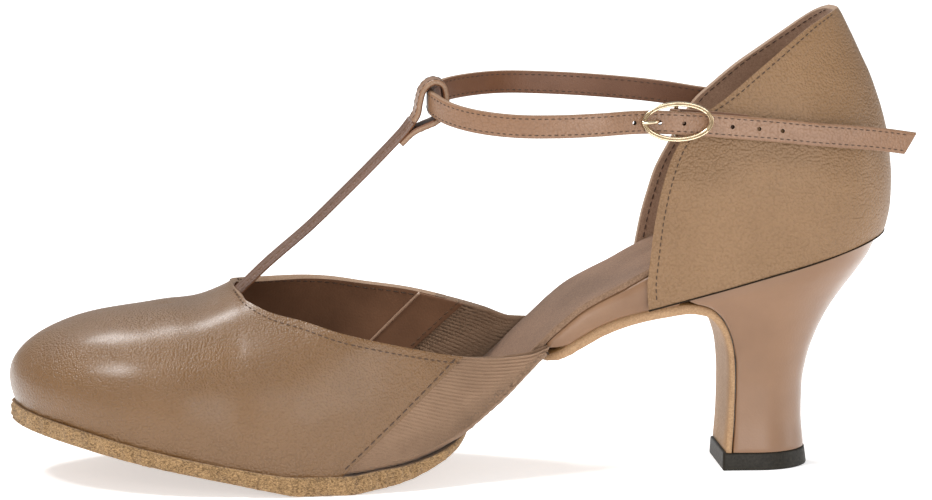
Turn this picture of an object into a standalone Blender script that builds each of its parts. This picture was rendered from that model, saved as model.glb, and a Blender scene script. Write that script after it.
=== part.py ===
"""T strap shoe for the left foot, built from the sizes of its last.

All sizes are millimetres, and mesh_object turns them into metres. +X points to the back of the heel,
+Y to the inner side of the foot and +Z up. The origin is the centre of the heel tip's flat underside.
"""
import math

import bmesh
import bpy
from mathutils import Vector

MM = 0.001

# Driving sizes
LENGTH = 238.5
BALL_WIDTH = 79.5
HEEL_BACK_X = 34.8
BACK_HEIGHT = 124.4
TOE_X = HEEL_BACK_X - LENGTH
GAP = 0.3

# Walls
LEATHER = 1.6
ELASTIC = 1.2
SOCK = 1.6

# The last: its toe in plan, its cross-section and its overhang past the sole
NOSE_X = -146.0
NOSE_POWER = 2.0
TIP_X = TOE_X + 1.5
SECTION_POWER = 2.4
FAN_X = -162.0
TOE_BULGE = 3.3
SIDE_BULGE = 1.6
THROAT_X = -144.3

# Sides of the shoe, as the sign of Y
LATERAL = -1
MEDIAL = 1
SIDES = (LATERAL, MEDIAL)


class Table:
    """Sizes in named columns, a row for each section, read smoothly between the rows."""

    def __init__(self, names, *rows):
        self.names = names.split()
        self.rows = rows
        self.keys = [row[0] for row in rows]

    def at(self, key, name):
        """The column's value at a key, by a monotone cubic that is held level past both ends."""
        values = [row[self.names.index(name)] for row in self.rows]
        keys = self.keys
        if key <= keys[0]:
            return values[0]
        if key >= keys[-1]:
            return values[-1]
        i = max(k for k in range(len(keys) - 1) if keys[k] <= key)
        step = keys[i + 1] - keys[i]
        t = (key - keys[i]) / step
        rise = values[i + 1] - values[i]
        start = self.slope(values, i) * step
        end = self.slope(values, i + 1) * step
        return (values[i] + t * start + t * t * (3 * rise - 2 * start - end)
                + t * t * t * (start + end - 2 * rise))

    def slope(self, values, k):
        """Slope at row k: the harmonic mean of the slopes beside it, level at a turn."""
        def secant(j):
            return (values[j + 1] - values[j]) / (self.keys[j + 1] - self.keys[j])
        last = len(self.keys) - 1
        if k == 0:
            return secant(0)
        if k == last:
            return secant(last - 1)
        before, after = secant(k - 1), secant(k)
        if before * after <= 0:
            return 0.0
        return 2 * before * after / (before + after)


# Sole of the forepart at its centre: underside, thickness and half widths as shares of the ball's
SOLE = Table(
    "x bottom thick lateral medial",
    (-203.2, 15.6, 4.6, 0.05, 0.05),
    (-188.0, 12.5, 4.6, 0.60, 0.59),
    (-172.0, 8.9, 4.3, 0.84, 0.83),
    (-156.0, 5.6, 4.0, 0.97, 0.96),
    (-146.0, 3.5, 4.2, 1.00, 0.98),
    (-136.0, 1.4, 4.5, 1.02, 0.98),
    (-128.0, 0.0, 5.0, 1.01, 0.96),
    (-115.0, 0.0, 4.9, 0.98, 0.89),
    (-108.0, 1.0, 4.8, 0.94, 0.85),
    (-101.0, 2.4, 4.2, 0.89, 0.80),
    (-94.0, 5.0, 3.3, 0.83, 0.75),
    (-88.0, 8.2, 2.5, 0.76, 0.70),
    (-84.0, 11.0, 1.9, 0.71, 0.66),
    (-80.7, 14.0, 1.3, 0.66, 0.62),
)
SOLE_TIP_X = -203.2
SOLE_END_X = -80.7
SOLE_EDGE = 1.3

# Half widths of the upper at the sole, behind the nose
LAST = Table(
    "x lateral medial",
    (-146.0, 38.6, 37.8),
    (-136.0, 39.5, 38.2),
    (-120.0, 38.6, 35.6),
    (-110.0, 36.9, 33.2),
    (-100.0, 34.4, 30.8),
    (-90.0, 31.2, 28.4),
    (-80.0, 27.6, 25.4),
    (-70.0, 24.0, 22.5),
    (-60.0, 21.0, 20.0),
    (-50.0, 19.9, 18.8),
    (-40.0, 20.7, 19.5),
    (-33.0, 21.9, 20.8),
    (-20.0, 23.9, 22.9),
    (-10.0, 25.0, 24.2),
    (8.0, 25.6, 25.0),
)

# Height of the last's ridge, and of the topline on both sides
RIDGE = Table(
    "x z",
    (-170.0, 44.9),
    (-162.0, 45.6),
    (-155.0, 46.8),
    (-151.0, 48.1),
    (-147.0, 50.1),
    (-144.3, 51.6),
    (-140.0, 52.8),
    (-134.0, 54.4),
    (-127.0, 57.0),
    (-117.0, 63.0),
    (-106.0, 67.0),
    (-96.0, 66.0),
    (-84.0, 60.0),
    (-60.0, 50.0),
)
TOPLINE = Table(
    "x lateral medial",
    (-144.3, 51.6, 51.6),
    (-142.6, 50.2, 51.0),
    (-139.4, 48.7, 50.3),
    (-134.5, 47.0, 49.9),
    (-127.0, 45.5, 49.8),
    (-117.0, 42.6, 48.9),
    (-106.0, 39.9, 47.2),
    (-96.0, 37.5, 45.9),
    (-84.0, 35.0, 43.4),
    (-74.0, 34.0, 40.6),
    (-66.0, 34.3, 37.8),
    (-60.0, 36.0, 37.4),
)

# The seam between vamp and elastic, straight as seen from the side
SEAM_BOTTOM_X = -117.0
SEAM_TOP_X = -84.0
SEAM_OPEN = 0.4
SEAM_OPEN_LOW = 2.0

SEAM_FOOT_SETBACK = 1.0

# Rear ends of the elastic, below and above, and the radius of its turn under the foot
GORE_LOW_X = -65.0
GORE_TOP_X = -62.8
GORE_TURN = 3.0
GORE_TURN_FRONT = 1.7
GORE_TURN_SHARE = 0.45

# Places along X of the vamp's columns behind the throat
VAMP_STATIONS = (-143.6, -142.4, -140.4, -137.0, -131.0, -124.0, -117.0, -109.0, -101.0, -92.5)

# Underside of the insole, how far it leans up to the inner side at LEAN_WIDTH from the centre, and how
# far inside the upper's outer face its edge lies
LEAN_WIDTH = 20.0
INSOLE = Table(
    "x bottom lean inset",
    (-202.0, 20.6, 0.0, 2.4),
    (-188.0, 17.5, 0.0, 2.4),
    (-172.0, 13.6, 0.0, 2.4),
    (-156.0, 10.0, 0.0, 2.4),
    (-146.0, 8.1, 0.0, 2.4),
    (-136.0, 6.3, 0.0, 2.4),
    (-126.0, 5.5, 0.0, 2.4),
    (-118.0, 6.9, 0.0, 2.4),
    (-108.0, 7.9, 0.0, 3.0),
    (-101.0, 8.9, 0.0, 3.4),
    (-94.0, 10.7, 0.0, 3.4),
    (-88.0, 13.3, 0.0, 3.4),
    (-84.0, 15.9, 0.2, 3.4),
    (-80.0, 19.2, 0.5, 3.4),
    (-74.0, 24.1, 0.7, 4.0),
    (-69.0, 28.9, 0.9, 4.2),
    (-64.0, 34.1, 1.0, 4.2),
    (-60.0, 38.0, 1.0, 3.8),
    (-57.0, 40.8, 1.0, 3.0),
    (-51.0, 45.7, 1.0, 2.4),
    (-45.5, 48.8, 0.9, 2.4),
    (-39.6, 51.7, 0.7, 2.4),
    (-33.0, 55.3, 0.4, 2.4),
    (-27.0, 58.0, 0.3, 2.4),
    (-15.0, 61.2, 0.0, 2.4),
    (0.0, 63.6, 0.0, 2.4),
    (15.0, 65.6, 0.0, 2.4),
    (32.0, 67.8, 0.0, 2.4),
)

# Leather strip under the arch and down the breast of the heel: its upper face from front to floor
STRIP = Table(
    "s x z half_width thick",
    (0.0, -61.5, 31.9, 9.0, 1.6),
    (1.0, -60.0, 32.6, 12.5, 2.0),
    (2.0, -57.0, 34.1, 15.2, 2.6),
    (3.0, -51.0, 37.7, 15.8, 2.8),
    (4.0, -45.7, 40.6, 16.0, 2.8),
    (5.0, -38.0, 43.5, 16.6, 2.8),
    (6.0, -30.0, 45.4, 17.6, 2.8),
    (7.0, -22.5, 46.4, 18.4, 2.6),
    (8.0, -17.2, 45.5, 18.4, 2.4),
    (9.0, -13.4, 42.4, 17.4, 2.0),
    (10.0, -10.8, 37.6, 15.8, 1.6),
    (11.0, -9.4, 31.5, 14.4, 1.5),
    (12.0, -9.0, 24.0, 13.4, 1.5),
    (13.0, -9.2, 14.0, 13.0, 1.5),
    (14.0, -9.8, 4.8, 13.3, 1.5),
)
STRIP_SETBACK = 0.35

# Places along X of the sections that insole and arch board share
ARCH_STATIONS = (-59.4, -57.0, -54.0, -50.0, -46.0, -41.0, -36.0, -31.0, -26.0, -24.2, -20.0, -12.0,
                 -3.0, 6.0, 13.0, 18.0, 22.0, 25.0, 27.0)

# Heel: a row for each section, from the tip up to the inclined top
HEEL = Table(
    "s back_x back_z front_x front_z half_width",
    (0.0, 11.6, 4.8, -9.5, 4.8, 13.6),
    (1.0, 10.9, 14.0, -8.9, 14.0, 13.2),
    (2.0, 11.1, 22.0, -8.7, 22.0, 13.4),
    (3.0, 12.4, 29.5, -8.8, 28.5, 14.4),
    (4.0, 14.6, 36.0, -9.7, 34.5, 16.0),
    (5.0, 17.8, 42.5, -11.6, 39.8, 18.2),
    (6.0, 21.6, 48.2, -14.2, 43.6, 20.6),
    (7.0, 25.8, 53.8, -17.6, 46.0, 22.8),
    (8.0, 29.0, 58.6, -21.0, 47.0, 24.4),
    (9.0, 31.2, 63.6, -23.6, 48.2, 25.4),
)
HEEL_BREAST = 0.9
SEAM_X = -22.5
SEAM_Z = 48.6
SEAM_SLOPE = 0.285

TIP_HEIGHT = 4.4
TIP_BACK_X = 12.4
TIP_FRONT_X = -12.1
TIP_HALF_WIDTH = 14.0
TIP_FLARE = 0.6

# Quarter: back curve, its half width as a share of the last's, and its front edges
QUARTER = Table(
    "z back_x share lateral_x medial_x",
    (45.0, 24.0, 1.00, -33.7, -32.6),
    (52.0, 27.0, 1.00, -34.1, -33.0),
    (57.0, 29.4, 1.00, -33.6, -32.4),
    (62.0, 31.8, 1.01, -33.1, -31.4),
    (66.0, 33.5, 1.02, -32.7, -30.5),
    (72.0, 34.6, 1.03, -31.8, -28.7),
    (78.0, 34.8, 1.02, -30.5, -26.7),
    (86.0, 34.2, 0.98, -28.0, -22.6),
    (91.0, 33.5, 0.95, -25.4, -20.0),
    (97.0, 32.0, 0.91, -20.8, -16.2),
    (102.0, 30.4, 0.87, -13.8, -10.8),
    (107.0, 28.6, 0.82, -7.6, -5.0),
    (112.0, 26.3, 0.76, -1.4, 1.8),
    (116.5, 24.2, 0.71, 4.3, 7.8),
    (120.5, 22.2, 0.66, 10.0, 12.7),
    (123.0, 20.9, 0.63, 15.0, 16.0),
    (124.4, 20.0, 0.62, 18.6, 18.6),
)
QUARTER_DEPTH = 27.0
QUARTER_POWER = 2.2

# Ankle strap, with the lean of its width in degrees
STRAP_WIDTH = 6.2
STRAP_THICK = 1.8
STRAP_ROUTE = (
    (-4.0, 26.0, 95.6, 8.0),
    (-14.0, 25.6, 97.0, 8.0),
    (-24.0, 26.2, 98.6, 6.0),
    (-34.0, 27.6, 99.7, 3.0),
    (-46.0, 29.0, 100.6, 0.0),
    (-58.0, 29.0, 101.3, 0.0),
    (-68.0, 26.8, 101.8, 0.0),
    (-76.5, 21.6, 101.9, 0.0),
    (-84.4, 14.6, 101.5, 0.0),
    (-89.4, 6.2, 100.6, 0.0),
    (-90.4, 0.0, 100.2, 0.0),
    (-89.9, -6.2, 99.7, 0.0),
    (-86.2, -14.2, 98.1, 0.0),
    (-79.5, -21.4, 96.9, 0.0),
    (-70.0, -27.2, 96.3, 0.0),
    (-58.8, -30.0, 96.4, 0.0),
    (-48.0, -30.4, 96.8, 0.0),
    (-41.0, -28.5, 97.0, 0.0),
    (-36.0, -27.3, 97.0, 0.0),
    (-32.0, -27.6, 97.0, 0.0),
    (-27.1, -28.15, 96.8, 0.0),
    (-22.2, -27.5, 96.4, 2.0),
    (-18.2, -26.6, 95.9, 6.0),
    (-10.0, -26.3, 95.1, 8.0),
    (0.0, -26.4, 94.2, 8.0),
    (10.0, -26.4, 93.1, 8.0),
    (20.0, -25.8, 92.2, 4.0),
    (28.0, -24.6, 91.3, 0.0),
    (37.4, -22.4, 89.7, 0.0),
)
STRAP_TAIL_SLANT = 2.6
HOLE_FIRST_X = -38.9
HOLE_PITCH = 6.75
HOLE_COUNT = 7
HOLE_DIAMETER = 1.7
PRONG_HOLE = 1
PRONG_HOLE_DIAMETER = 2.6

# T strap: the bar's centre line in the middle plane, and its loop round the ankle strap
BAR_WIDTH = 9.0
BAR_THICK = 1.6
BAR_ROUTE = (
    (-156.0, 43.2),
    (-150.0, 45.0),
    (-146.0, 46.6),
    (-142.6, 48.9),
    (-139.2, 52.1),
    (-135.0, 56.1),
    (-131.0, 59.6),
    (-122.8, 66.6),
    (-114.7, 74.4),
    (-106.5, 82.5),
    (-98.4, 90.9),
    (-95.2, 94.9),
)
LOOP_ROUTE = (
    (-96.4, 93.2),
    (-94.1, 96.6),
    (-93.4, 100.0),
    (-92.4, 103.3),
    (-89.9, 105.4),
    (-87.2, 104.6),
    (-86.3, 101.4),
    (-86.7, 97.6),
    (-88.9, 94.9),
    (-92.2, 93.4),
    (-95.3, 91.9),
    (-98.6, 88.8),
)

# Buckle: an oval frame of wire with a bar across its middle
BUCKLE_X = -27.1
BUCKLE_Z = 97.3
BUCKLE_LENGTH = 19.2
BUCKLE_HEIGHT = 10.8
BUCKLE_WIRE = 1.3
BUCKLE_BAR = 1.2
BUCKLE_BAR_Y = -25.2
BUCKLE_RIM_Y = -29.3
BAR_DROP_ROUTE = (
    (4.75, -29.3),
    (4.6, -27.6),
    (4.1, -26.0),
    (3.0, -25.2),
    (0.0, -25.2),
    (-3.0, -25.2),
    (-4.1, -26.0),
    (-4.6, -27.6),
    (-4.75, -29.3),
)
PRONG_WIRE = 1.0
PRONG_ROUTE = (
    (-25.7, -25.4),
    (-26.1, -24.2),
    (-27.1, -23.8),
    (-28.2, -24.3),
    (-29.2, -25.3),
    (-30.6, -25.9),
    (-31.6, -26.7),
    (-32.1, -27.9),
    (-32.6, -29.2),
    (-33.8, -30.2),
    (-35.4, -30.8),
    (-36.9, -30.9),
)

# Tab that carries the buckle: route behind the strap, then round the bar
TAB_WIDTH = 6.0
TAB_THICK = 0.8
TAB_SLOT = 2.4
TAB_SLOT_REACH = 4.2
TAB_ROUTE = (
    (-8.0, -24.35, 95.3, 8.0),
    (-13.0, -24.25, 95.9, 8.0),
    (-18.0, -24.2, 96.4, 6.0),
    (-22.6, -23.9, 96.8, 2.0),
    (-26.0, -23.8, 97.1, 0.0),
    (-27.8, -24.1, 97.2, 0.0),
    (-28.5, -25.2, 97.3, 0.0),
    (-27.8, -26.3, 97.3, 0.0),
    (-26.2, -26.55, 97.3, 0.0),
)


def material(name, colour, roughness, metallic=0.0):
    """A finish for one kind of piece."""
    made = bpy.data.materials.new(name)
    made.use_nodes = True
    shader = made.node_tree.nodes["Principled BSDF"]
    shader.inputs["Base Color"].default_value = (*colour, 1.0)
    shader.inputs["Roughness"].default_value = roughness
    shader.inputs["Metallic"].default_value = metallic
    return made


def mesh_object(name, points, faces, finish, solid=True):
    """An object from points in millimetres, its faces turned outwards, or away from its middle."""
    mesh = bpy.data.meshes.new(name)
    mesh.from_pydata([Vector(point) * MM for point in points], [], faces)
    shape = bmesh.new()
    shape.from_mesh(mesh)
    if solid:
        bmesh.ops.recalc_face_normals(shape, faces=shape.faces)
    else:
        shape.normal_update()
        middle = sum((vertex.co for vertex in shape.verts), Vector()) / len(shape.verts)
        facing = sum(face.calc_area() * face.normal.dot(face.calc_center_median() - middle)
                     for face in shape.faces)
        if facing < 0:
            bmesh.ops.reverse_faces(shape, faces=shape.faces)
    shape.to_mesh(mesh)
    shape.free()
    mesh.shade_smooth()
    mesh.set_sharp_from_angle(angle=math.radians(40))
    mesh.materials.append(finish)
    made = bpy.data.objects.new(name, mesh)
    bpy.context.scene.collection.objects.link(made)
    return made


def loft(name, rings, finish, closed=False):
    """A skin over rings of equal count, with a face on each end unless it closes on itself."""
    count = len(rings[0])
    points = [point for ring in rings for point in ring]
    spans = len(rings) if closed else len(rings) - 1
    faces = []
    for i in range(spans):
        here = i * count
        there = (i + 1) % len(rings) * count
        for j in range(count):
            k = (j + 1) % count
            faces.append((here + j, here + k, there + k, there + j))
    if not closed:
        faces.append(tuple(range(count)))
        faces.append(tuple(range(len(points) - count, len(points))))
    return mesh_object(name, points, faces, finish)


def shell(name, rows, thickness, finish):
    """A wall from the grid of its outer face, thickened inwards."""
    count = len(rows[0])
    points = []
    index = {}
    faces = []
    for row in rows:
        for point in row:
            key = tuple(round(value, 4) for value in point)
            if key not in index:
                index[key] = len(points)
                points.append(point)
    label = [[index[tuple(round(value, 4) for value in point)] for point in row] for row in rows]
    for i in range(len(rows) - 1):
        for j in range(count - 1):
            corners = (label[i][j], label[i][j + 1], label[i + 1][j + 1], label[i + 1][j])
            face = tuple(dict.fromkeys(corners))
            if len(face) > 2:
                faces.append(face)
    made = mesh_object(name, points, faces, finish, solid=False)
    wall = made.modifiers.new("Wall", "SOLIDIFY")
    wall.thickness = thickness * MM
    wall.offset = -1.0
    wall.use_even_offset = True
    wall.use_rim = True
    return made


def spread(points, count):
    """Points at even steps along a line of points."""
    line = [Vector(point) for point in points]
    lengths = [0.0]
    for a, b in zip(line, line[1:]):
        lengths.append(lengths[-1] + (b - a).length)
    out = []
    i = 0
    for k in range(count):
        goal = lengths[-1] * k / (count - 1)
        while i < len(line) - 2 and lengths[i + 1] < goal:
            i += 1
        step = max(lengths[i + 1] - lengths[i], 1e-9)
        out.append(line[i].lerp(line[i + 1], (goal - lengths[i]) / step))
    return out


def smooth_route(points, spacing):
    """A smooth curve through a route's points, read at even steps of about the spacing."""
    route = [Vector(point) for point in points]
    route = [route[0] * 2 - route[1]] + route + [route[-1] * 2 - route[-2]]
    fine = []
    for a, b, c, d in zip(route, route[1:], route[2:], route[3:]):
        for k in range(12):
            t = k / 12
            fine.append(0.5 * (2 * b + (c - a) * t + (2 * a - 5 * b + 4 * c - d) * t * t
                               + (3 * b - a - 3 * c + d) * t ** 3))
    fine.append(route[-2])
    length = sum((b - a).length for a, b in zip(fine, fine[1:]))
    return spread(fine, max(2, round(length / spacing)) + 1)


def tangents(route):
    """Direction of travel at each point of a route."""
    ends = [route[0], *route, route[-1]]
    return [(after - before).normalized() for before, after in zip(ends, ends[2:])]


# The last and the sole

def nose(x, tip):
    """Share of the half width at the nose that the toe's round outline has at x."""
    u = min(1.0, max(0.0, (NOSE_X - x) / (NOSE_X - tip)))
    return (1 - u ** NOSE_POWER) ** (1 / NOSE_POWER)


def side_name(side):
    return "lateral" if side == LATERAL else "medial"


def last_width(x, side, inset=0.0):
    """Half width of the upper at the sole, less an inset for what lies inside it."""
    width = LAST.at(x, side_name(side)) - inset
    if x < NOSE_X:
        width *= nose(x, TIP_X + inset)
    return width


def sole_width(x, side):
    """Half width of the forepart sole, rounded at the toe and at its rear corners."""
    if x < NOSE_X:
        return SOLE.at(NOSE_X, side_name(side)) * BALL_WIDTH / 2 * nose(x, SOLE_TIP_X)
    width = SOLE.at(x, side_name(side)) * BALL_WIDTH / 2
    rear = max(0.0, (x - SOLE_END_X + 12.0) / 12.0)
    return width * (1 - 0.55 * rear ** 4)


def sole_top(x):
    return SOLE.at(x, "bottom") + SOLE.at(x, "thick")


def insole_bottom(x, y):
    """Underside of the insole, which leans up to the inner side at the arch."""
    return INSOLE.at(x, "bottom") + INSOLE.at(x, "lean") * y / LEAN_WIDTH


def sling_bottom(x):
    """Underside of the elastic: on the sole in front, below the insole behind it."""
    rest = sole_top(x) + GAP
    slope = (INSOLE.at(x + 1, "bottom") - INSOLE.at(x - 1, "bottom")) / 2
    drop = (ELASTIC + GAP) * math.hypot(1, slope) + INSOLE.at(x, "lean") * last_width(x, LATERAL) / LEAN_WIDTH
    below = INSOLE.at(x, "bottom") - drop - GAP
    if x < SOLE_END_X - 6:
        return max(rest, min(below, rest + 0.4))
    return below


def feather(x):
    """Lower edge of the upper's outer face."""
    if x < SEAM_BOTTOM_X:
        return sole_top(x) + GAP
    return sling_bottom(x)


def side_point(x, z, side):
    """Point of the upper's outer face behind the nose, at a place and a height."""
    low = feather(x)
    share = min(1.0, max(0.0, (z - low) / (RIDGE.at(x, "z") - low)))
    y = last_width(x, side) * (1 - share ** SECTION_POWER) ** (1 / SECTION_POWER)
    y += SIDE_BULGE * math.sin(math.pi * share)
    return (x, side * y, z)


def toe_point(x, angle, side):
    """Point of the toe cap on the arc from the sole at x up and back to the ridge."""
    foot_y = last_width(x, side)
    along = (x - TIP_X) / (NOSE_X - TIP_X)
    ridge_x = FAN_X + (NOSE_X - FAN_X) * along ** 2
    rise = math.sin(angle) ** (2 / SECTION_POWER)
    run = 1 - max(0.0, math.cos(angle)) ** (2 / SECTION_POWER)
    low = feather(x)
    z = low + (RIDGE.at(ridge_x, "z") - low) * rise
    bulge = (TOE_BULGE + (SIDE_BULGE - TOE_BULGE) * along ** 2) * math.sin(math.pi * rise)
    reach = Vector((x - ridge_x, foot_y))
    out = reach * (1 - run) + reach.normalized() * bulge
    return (ridge_x + out.x, side * out.y, z)


def nose_stations(tip, count):
    """Places along X that lie at even steps round the toe's outline, from the tip to the nose."""
    width = LAST.at(NOSE_X, "lateral")
    line = []
    for k in range(201):
        turn = math.pi / 2 * k / 200
        x = NOSE_X - (NOSE_X - tip) * math.cos(turn) ** (2 / NOSE_POWER)
        line.append((x, width * math.sin(turn) ** (2 / NOSE_POWER), 0.0))
    return [point.x for point in spread(line, count)]


def vamp_column(x_low, x_top, side, rows):
    """Points of the upper from the sole to the ridge or the topline, straight as seen from the side."""
    if x_top <= THROAT_X:
        top = RIDGE.at(x_top, "z")
    else:
        top = TOPLINE.at(x_top, side_name(side))
    low = feather(x_low)
    share = (top - low) / (RIDGE.at(x_top, "z") - low)
    end = math.asin(min(1.0, share) ** (SECTION_POWER / 2))
    points = []
    for i in range(rows + 1):
        rise = math.sin(end * i / rows) ** (2 / SECTION_POWER) / share
        points.append(side_point(x_low + (x_top - x_low) * rise, low + (top - low) * rise, side))
    return points


def build_vamp(finish):
    """The closed toe and the sides up to the elastic, one wall with its throat open."""
    rows = 8
    toe = nose_stations(TIP_X, 11)
    tops = [THROAT_X, *VAMP_STATIONS, SEAM_TOP_X - SEAM_OPEN]
    halves = []
    for side in SIDES:
        columns = []
        for x in toe:
            columns.append([toe_point(x, math.pi / 2 * i / rows, side) for i in range(rows + 1)])
        for x_top in tops:
            share = max(0.0, (x_top - THROAT_X) / (SEAM_TOP_X - THROAT_X))
            x_low = min(x_top, THROAT_X + share * (SEAM_BOTTOM_X - THROAT_X))
            columns.append(vamp_column(x_low, x_top, side, rows))
        halves.append(columns)
    lateral, medial = halves
    return shell("vamp", list(reversed(lateral)) + medial[1:], LEATHER, finish)


def build_gore(finish):
    """Both elastic panels and the band under the arch that joins them."""
    rows = 5
    across = 6
    columns = 9
    grid = []
    for k in range(columns):
        t = k / (columns - 1)
        x_low = SEAM_BOTTOM_X + SEAM_OPEN_LOW + (GORE_LOW_X - SEAM_BOTTOM_X) * t
        x_top = SEAM_TOP_X + SEAM_OPEN + (GORE_TOP_X - SEAM_TOP_X) * t
        radius = GORE_TURN_FRONT + (GORE_TURN - GORE_TURN_FRONT) * min(1.0, 1.6 * t)
        setback = (ELASTIC + 2 * GAP) * (1 - t)
        low = sling_bottom(x_low + setback)
        height = min(TOPLINE.at(x_top, "lateral"), TOPLINE.at(x_top, "medial")) - low
        radius = min(radius, GORE_TURN_SHARE * height)
        line = []
        for side in SIDES:
            top = TOPLINE.at(x_top, side_name(side))
            wall = []
            for i in range(rows + 1):
                z = low + radius + (top - low - radius) * i / rows
                x = x_low + (x_top - x_low) * (z - low) / (top - low)
                wall.append(side_point(x + (SEAM_FOOT_SETBACK * setback if i == 0 else 0.0), z, side))
            corner = []
            for turn in (60, 30):
                pull = radius * (1 - math.cos(math.radians(turn)))
                drop = radius * (1 - math.sin(math.radians(turn)))
                corner.append((x_low + setback * pull / radius, wall[0][1] - side * pull, low + drop))
            if side == LATERAL:
                line += list(reversed(wall)) + list(reversed(corner))
            else:
                far = corner + wall
        near_y = line[-1][1]
        far_y = far[0][1]
        for j in range(across + 1):
            y = near_y + (far_y - near_y) * (j + 0.5) / (across + 1)
            line.append((x_low + setback, y, low))
        grid.append(line + far)
    return shell("elastic_gore", grid, ELASTIC, finish)


def seam_height(x):
    """Height of the seam between heel and quarter."""
    return SEAM_Z + SEAM_SLOPE * (x - SEAM_X)


def quarter_row(rise, side):
    """One row of the quarter from the back to the front edge, level at the top and along the seam below."""
    column = side_name(side) + "_x"
    line = []
    steps = 60
    for k in range(steps + 1):
        t = k / steps
        x = HEEL_BACK_X
        for _ in range(6):
            low = seam_height(x) + GAP
            z = low + (BACK_HEIGHT - low) * rise
            back = QUARTER.at(z, "back_x")
            x = back - (back - QUARTER.at(z, column)) * t * t * (2 - t)
        u = max(0.0, (x - back + QUARTER_DEPTH) / QUARTER_DEPTH)
        y = LAST.at(x, side_name(side)) * QUARTER.at(z, "share")
        y *= max(0.0, 1 - u ** QUARTER_POWER) ** (1 / QUARTER_POWER)
        line.append((x, side * y, z))
    return line


def build_quarter(finish):
    """The heel cup, open in front, above and underneath."""
    columns = 13
    rises = (0.0, 0.1, 0.22, 0.34, 0.46, 0.58, 0.69, 0.79, 0.88, 0.95, 1.0)
    rows = []
    for rise in rises:
        lateral = spread(quarter_row(rise, LATERAL), columns)
        medial = spread(quarter_row(rise, MEDIAL), columns)
        rows.append([tuple(p) for p in reversed(lateral)] + [tuple(p) for p in medial[1:]])
    return shell("quarter", rows, LEATHER, finish)


def slab_ring(x, left, right, low, high, edge, lean=0.0):
    """Cross-section of a flat piece, with its edges eased; lean is its rise to the inner side."""
    outline = ((left + edge, low), (right - edge, low), (right, low + edge), (right, high - edge / 2),
               (right - edge / 2, high), (left + edge / 2, high), (left, high - edge / 2), (left, low + edge))
    return [(x, y, z + lean * y) for y, z in outline]


def build_forepart_sole(finish):
    """The front half of the split sole, flat where it stands on the floor."""
    stations = nose_stations(SOLE_TIP_X, 10)[1:]
    stations = [SOLE_TIP_X + 0.25] + stations
    stations += [-140.0, -134.0, -128.0, -115.0, -108.0, -101.0, -94.0, -90.0, -86.5, -83.5, -81.6, SOLE_END_X]
    rings = []
    for x in stations:
        left = -sole_width(x, LATERAL)
        right = sole_width(x, MEDIAL)
        edge = min(SOLE_EDGE, SOLE.at(x, "thick") / 3, right / 3)
        rings.append(slab_ring(x, left, right, SOLE.at(x, "bottom"), sole_top(x), edge))
    return loft("forepart_sole", rings, finish)


def quarter_inner(x, side):
    """Half width inside the quarter at the height of the insole."""
    z = insole_bottom(x, 0.0)
    back = QUARTER.at(z, "back_x") - LEATHER - 1.4 * GAP
    corner = back - QUARTER_DEPTH
    u = min(1.0, max(0.0, (x - corner) / QUARTER_DEPTH))
    width = LAST.at(x, side_name(side)) - LEATHER - 1.6 * GAP
    return width * (1 - u ** QUARTER_POWER) ** (1 / QUARTER_POWER)


def insole_width(x, side):
    """Half width of the insole inside the walls of the upper."""
    if x > SEAM_X:
        return quarter_inner(x, side)
    return last_width(x, side, INSOLE.at(x, "inset"))


def build_insole(finish):
    """The full length sock under the foot."""
    tip = TIP_X + LEATHER + 3 * GAP
    stations = [tip + 0.4] + nose_stations(tip, 8)[1:]
    stations += [-138.0, -130.0, -122.0, -114.0, -106.0, -99.0, -93.0, -88.0, -83.0, -78.0, -73.0, -68.0,
                 -63.0, *ARCH_STATIONS, 29.0, 30.6, 31.4]
    rings = []
    for x in stations:
        left = -insole_width(x, LATERAL)
        right = insole_width(x, MEDIAL)
        low = INSOLE.at(x, "bottom")
        slope = (INSOLE.at(x + 1, "bottom") - INSOLE.at(x - 1, "bottom")) / 2
        thick = SOCK * math.hypot(1, slope)
        rings.append(slab_ring(x, left, right, low, low + thick, 0.4, INSOLE.at(x, "lean") / LEAN_WIDTH))
    return loft("insole", rings, finish)


def strip_top(x):
    """Height of the arch strip's upper face, in front of the heel."""
    rows = [row for row in STRIP.rows if row[1] < SEAM_X + 0.5 and row[2] > 25]
    profile = Table("x z", *[(row[1], row[2]) for row in rows])
    return profile.at(x, "z")


def build_arch_board(finish):
    """The covered board between insole and strip, as far back as the heel seat."""
    rings = []
    for x in ARCH_STATIONS:
        if x > -40.0:
            left = -quarter_inner(x, LATERAL)
            right = quarter_inner(x, MEDIAL)
        else:
            left = -insole_width(x, LATERAL)
            right = insole_width(x, MEDIAL)
        slope = (INSOLE.at(x + 1, "bottom") - INSOLE.at(x - 1, "bottom")) / 2
        low = (seam_height(x) if x > HEEL.rows[-1][3] - 1 else strip_top(x)) + 1.4 * GAP
        if x < -55.0:
            low += 0.5 * (-55.0 - x)
        ring = []
        for share, level in ((-0.88, 0.0), (0.88, 0.0), (0.97, 0.3), (1.0, 0.8), (0.98, 1.0), (0.4, 1.0),
                             (-0.4, 1.0), (-0.98, 1.0), (-1.0, 0.8), (-0.97, 0.3)):
            y = share * (right if share > 0 else -left)
            high = insole_bottom(x, y) - GAP * math.hypot(1, slope)
            ring.append((x, y, low + (high - low) * level))
        rings.append(ring)
    return loft("arch_board", rings, finish)


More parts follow.
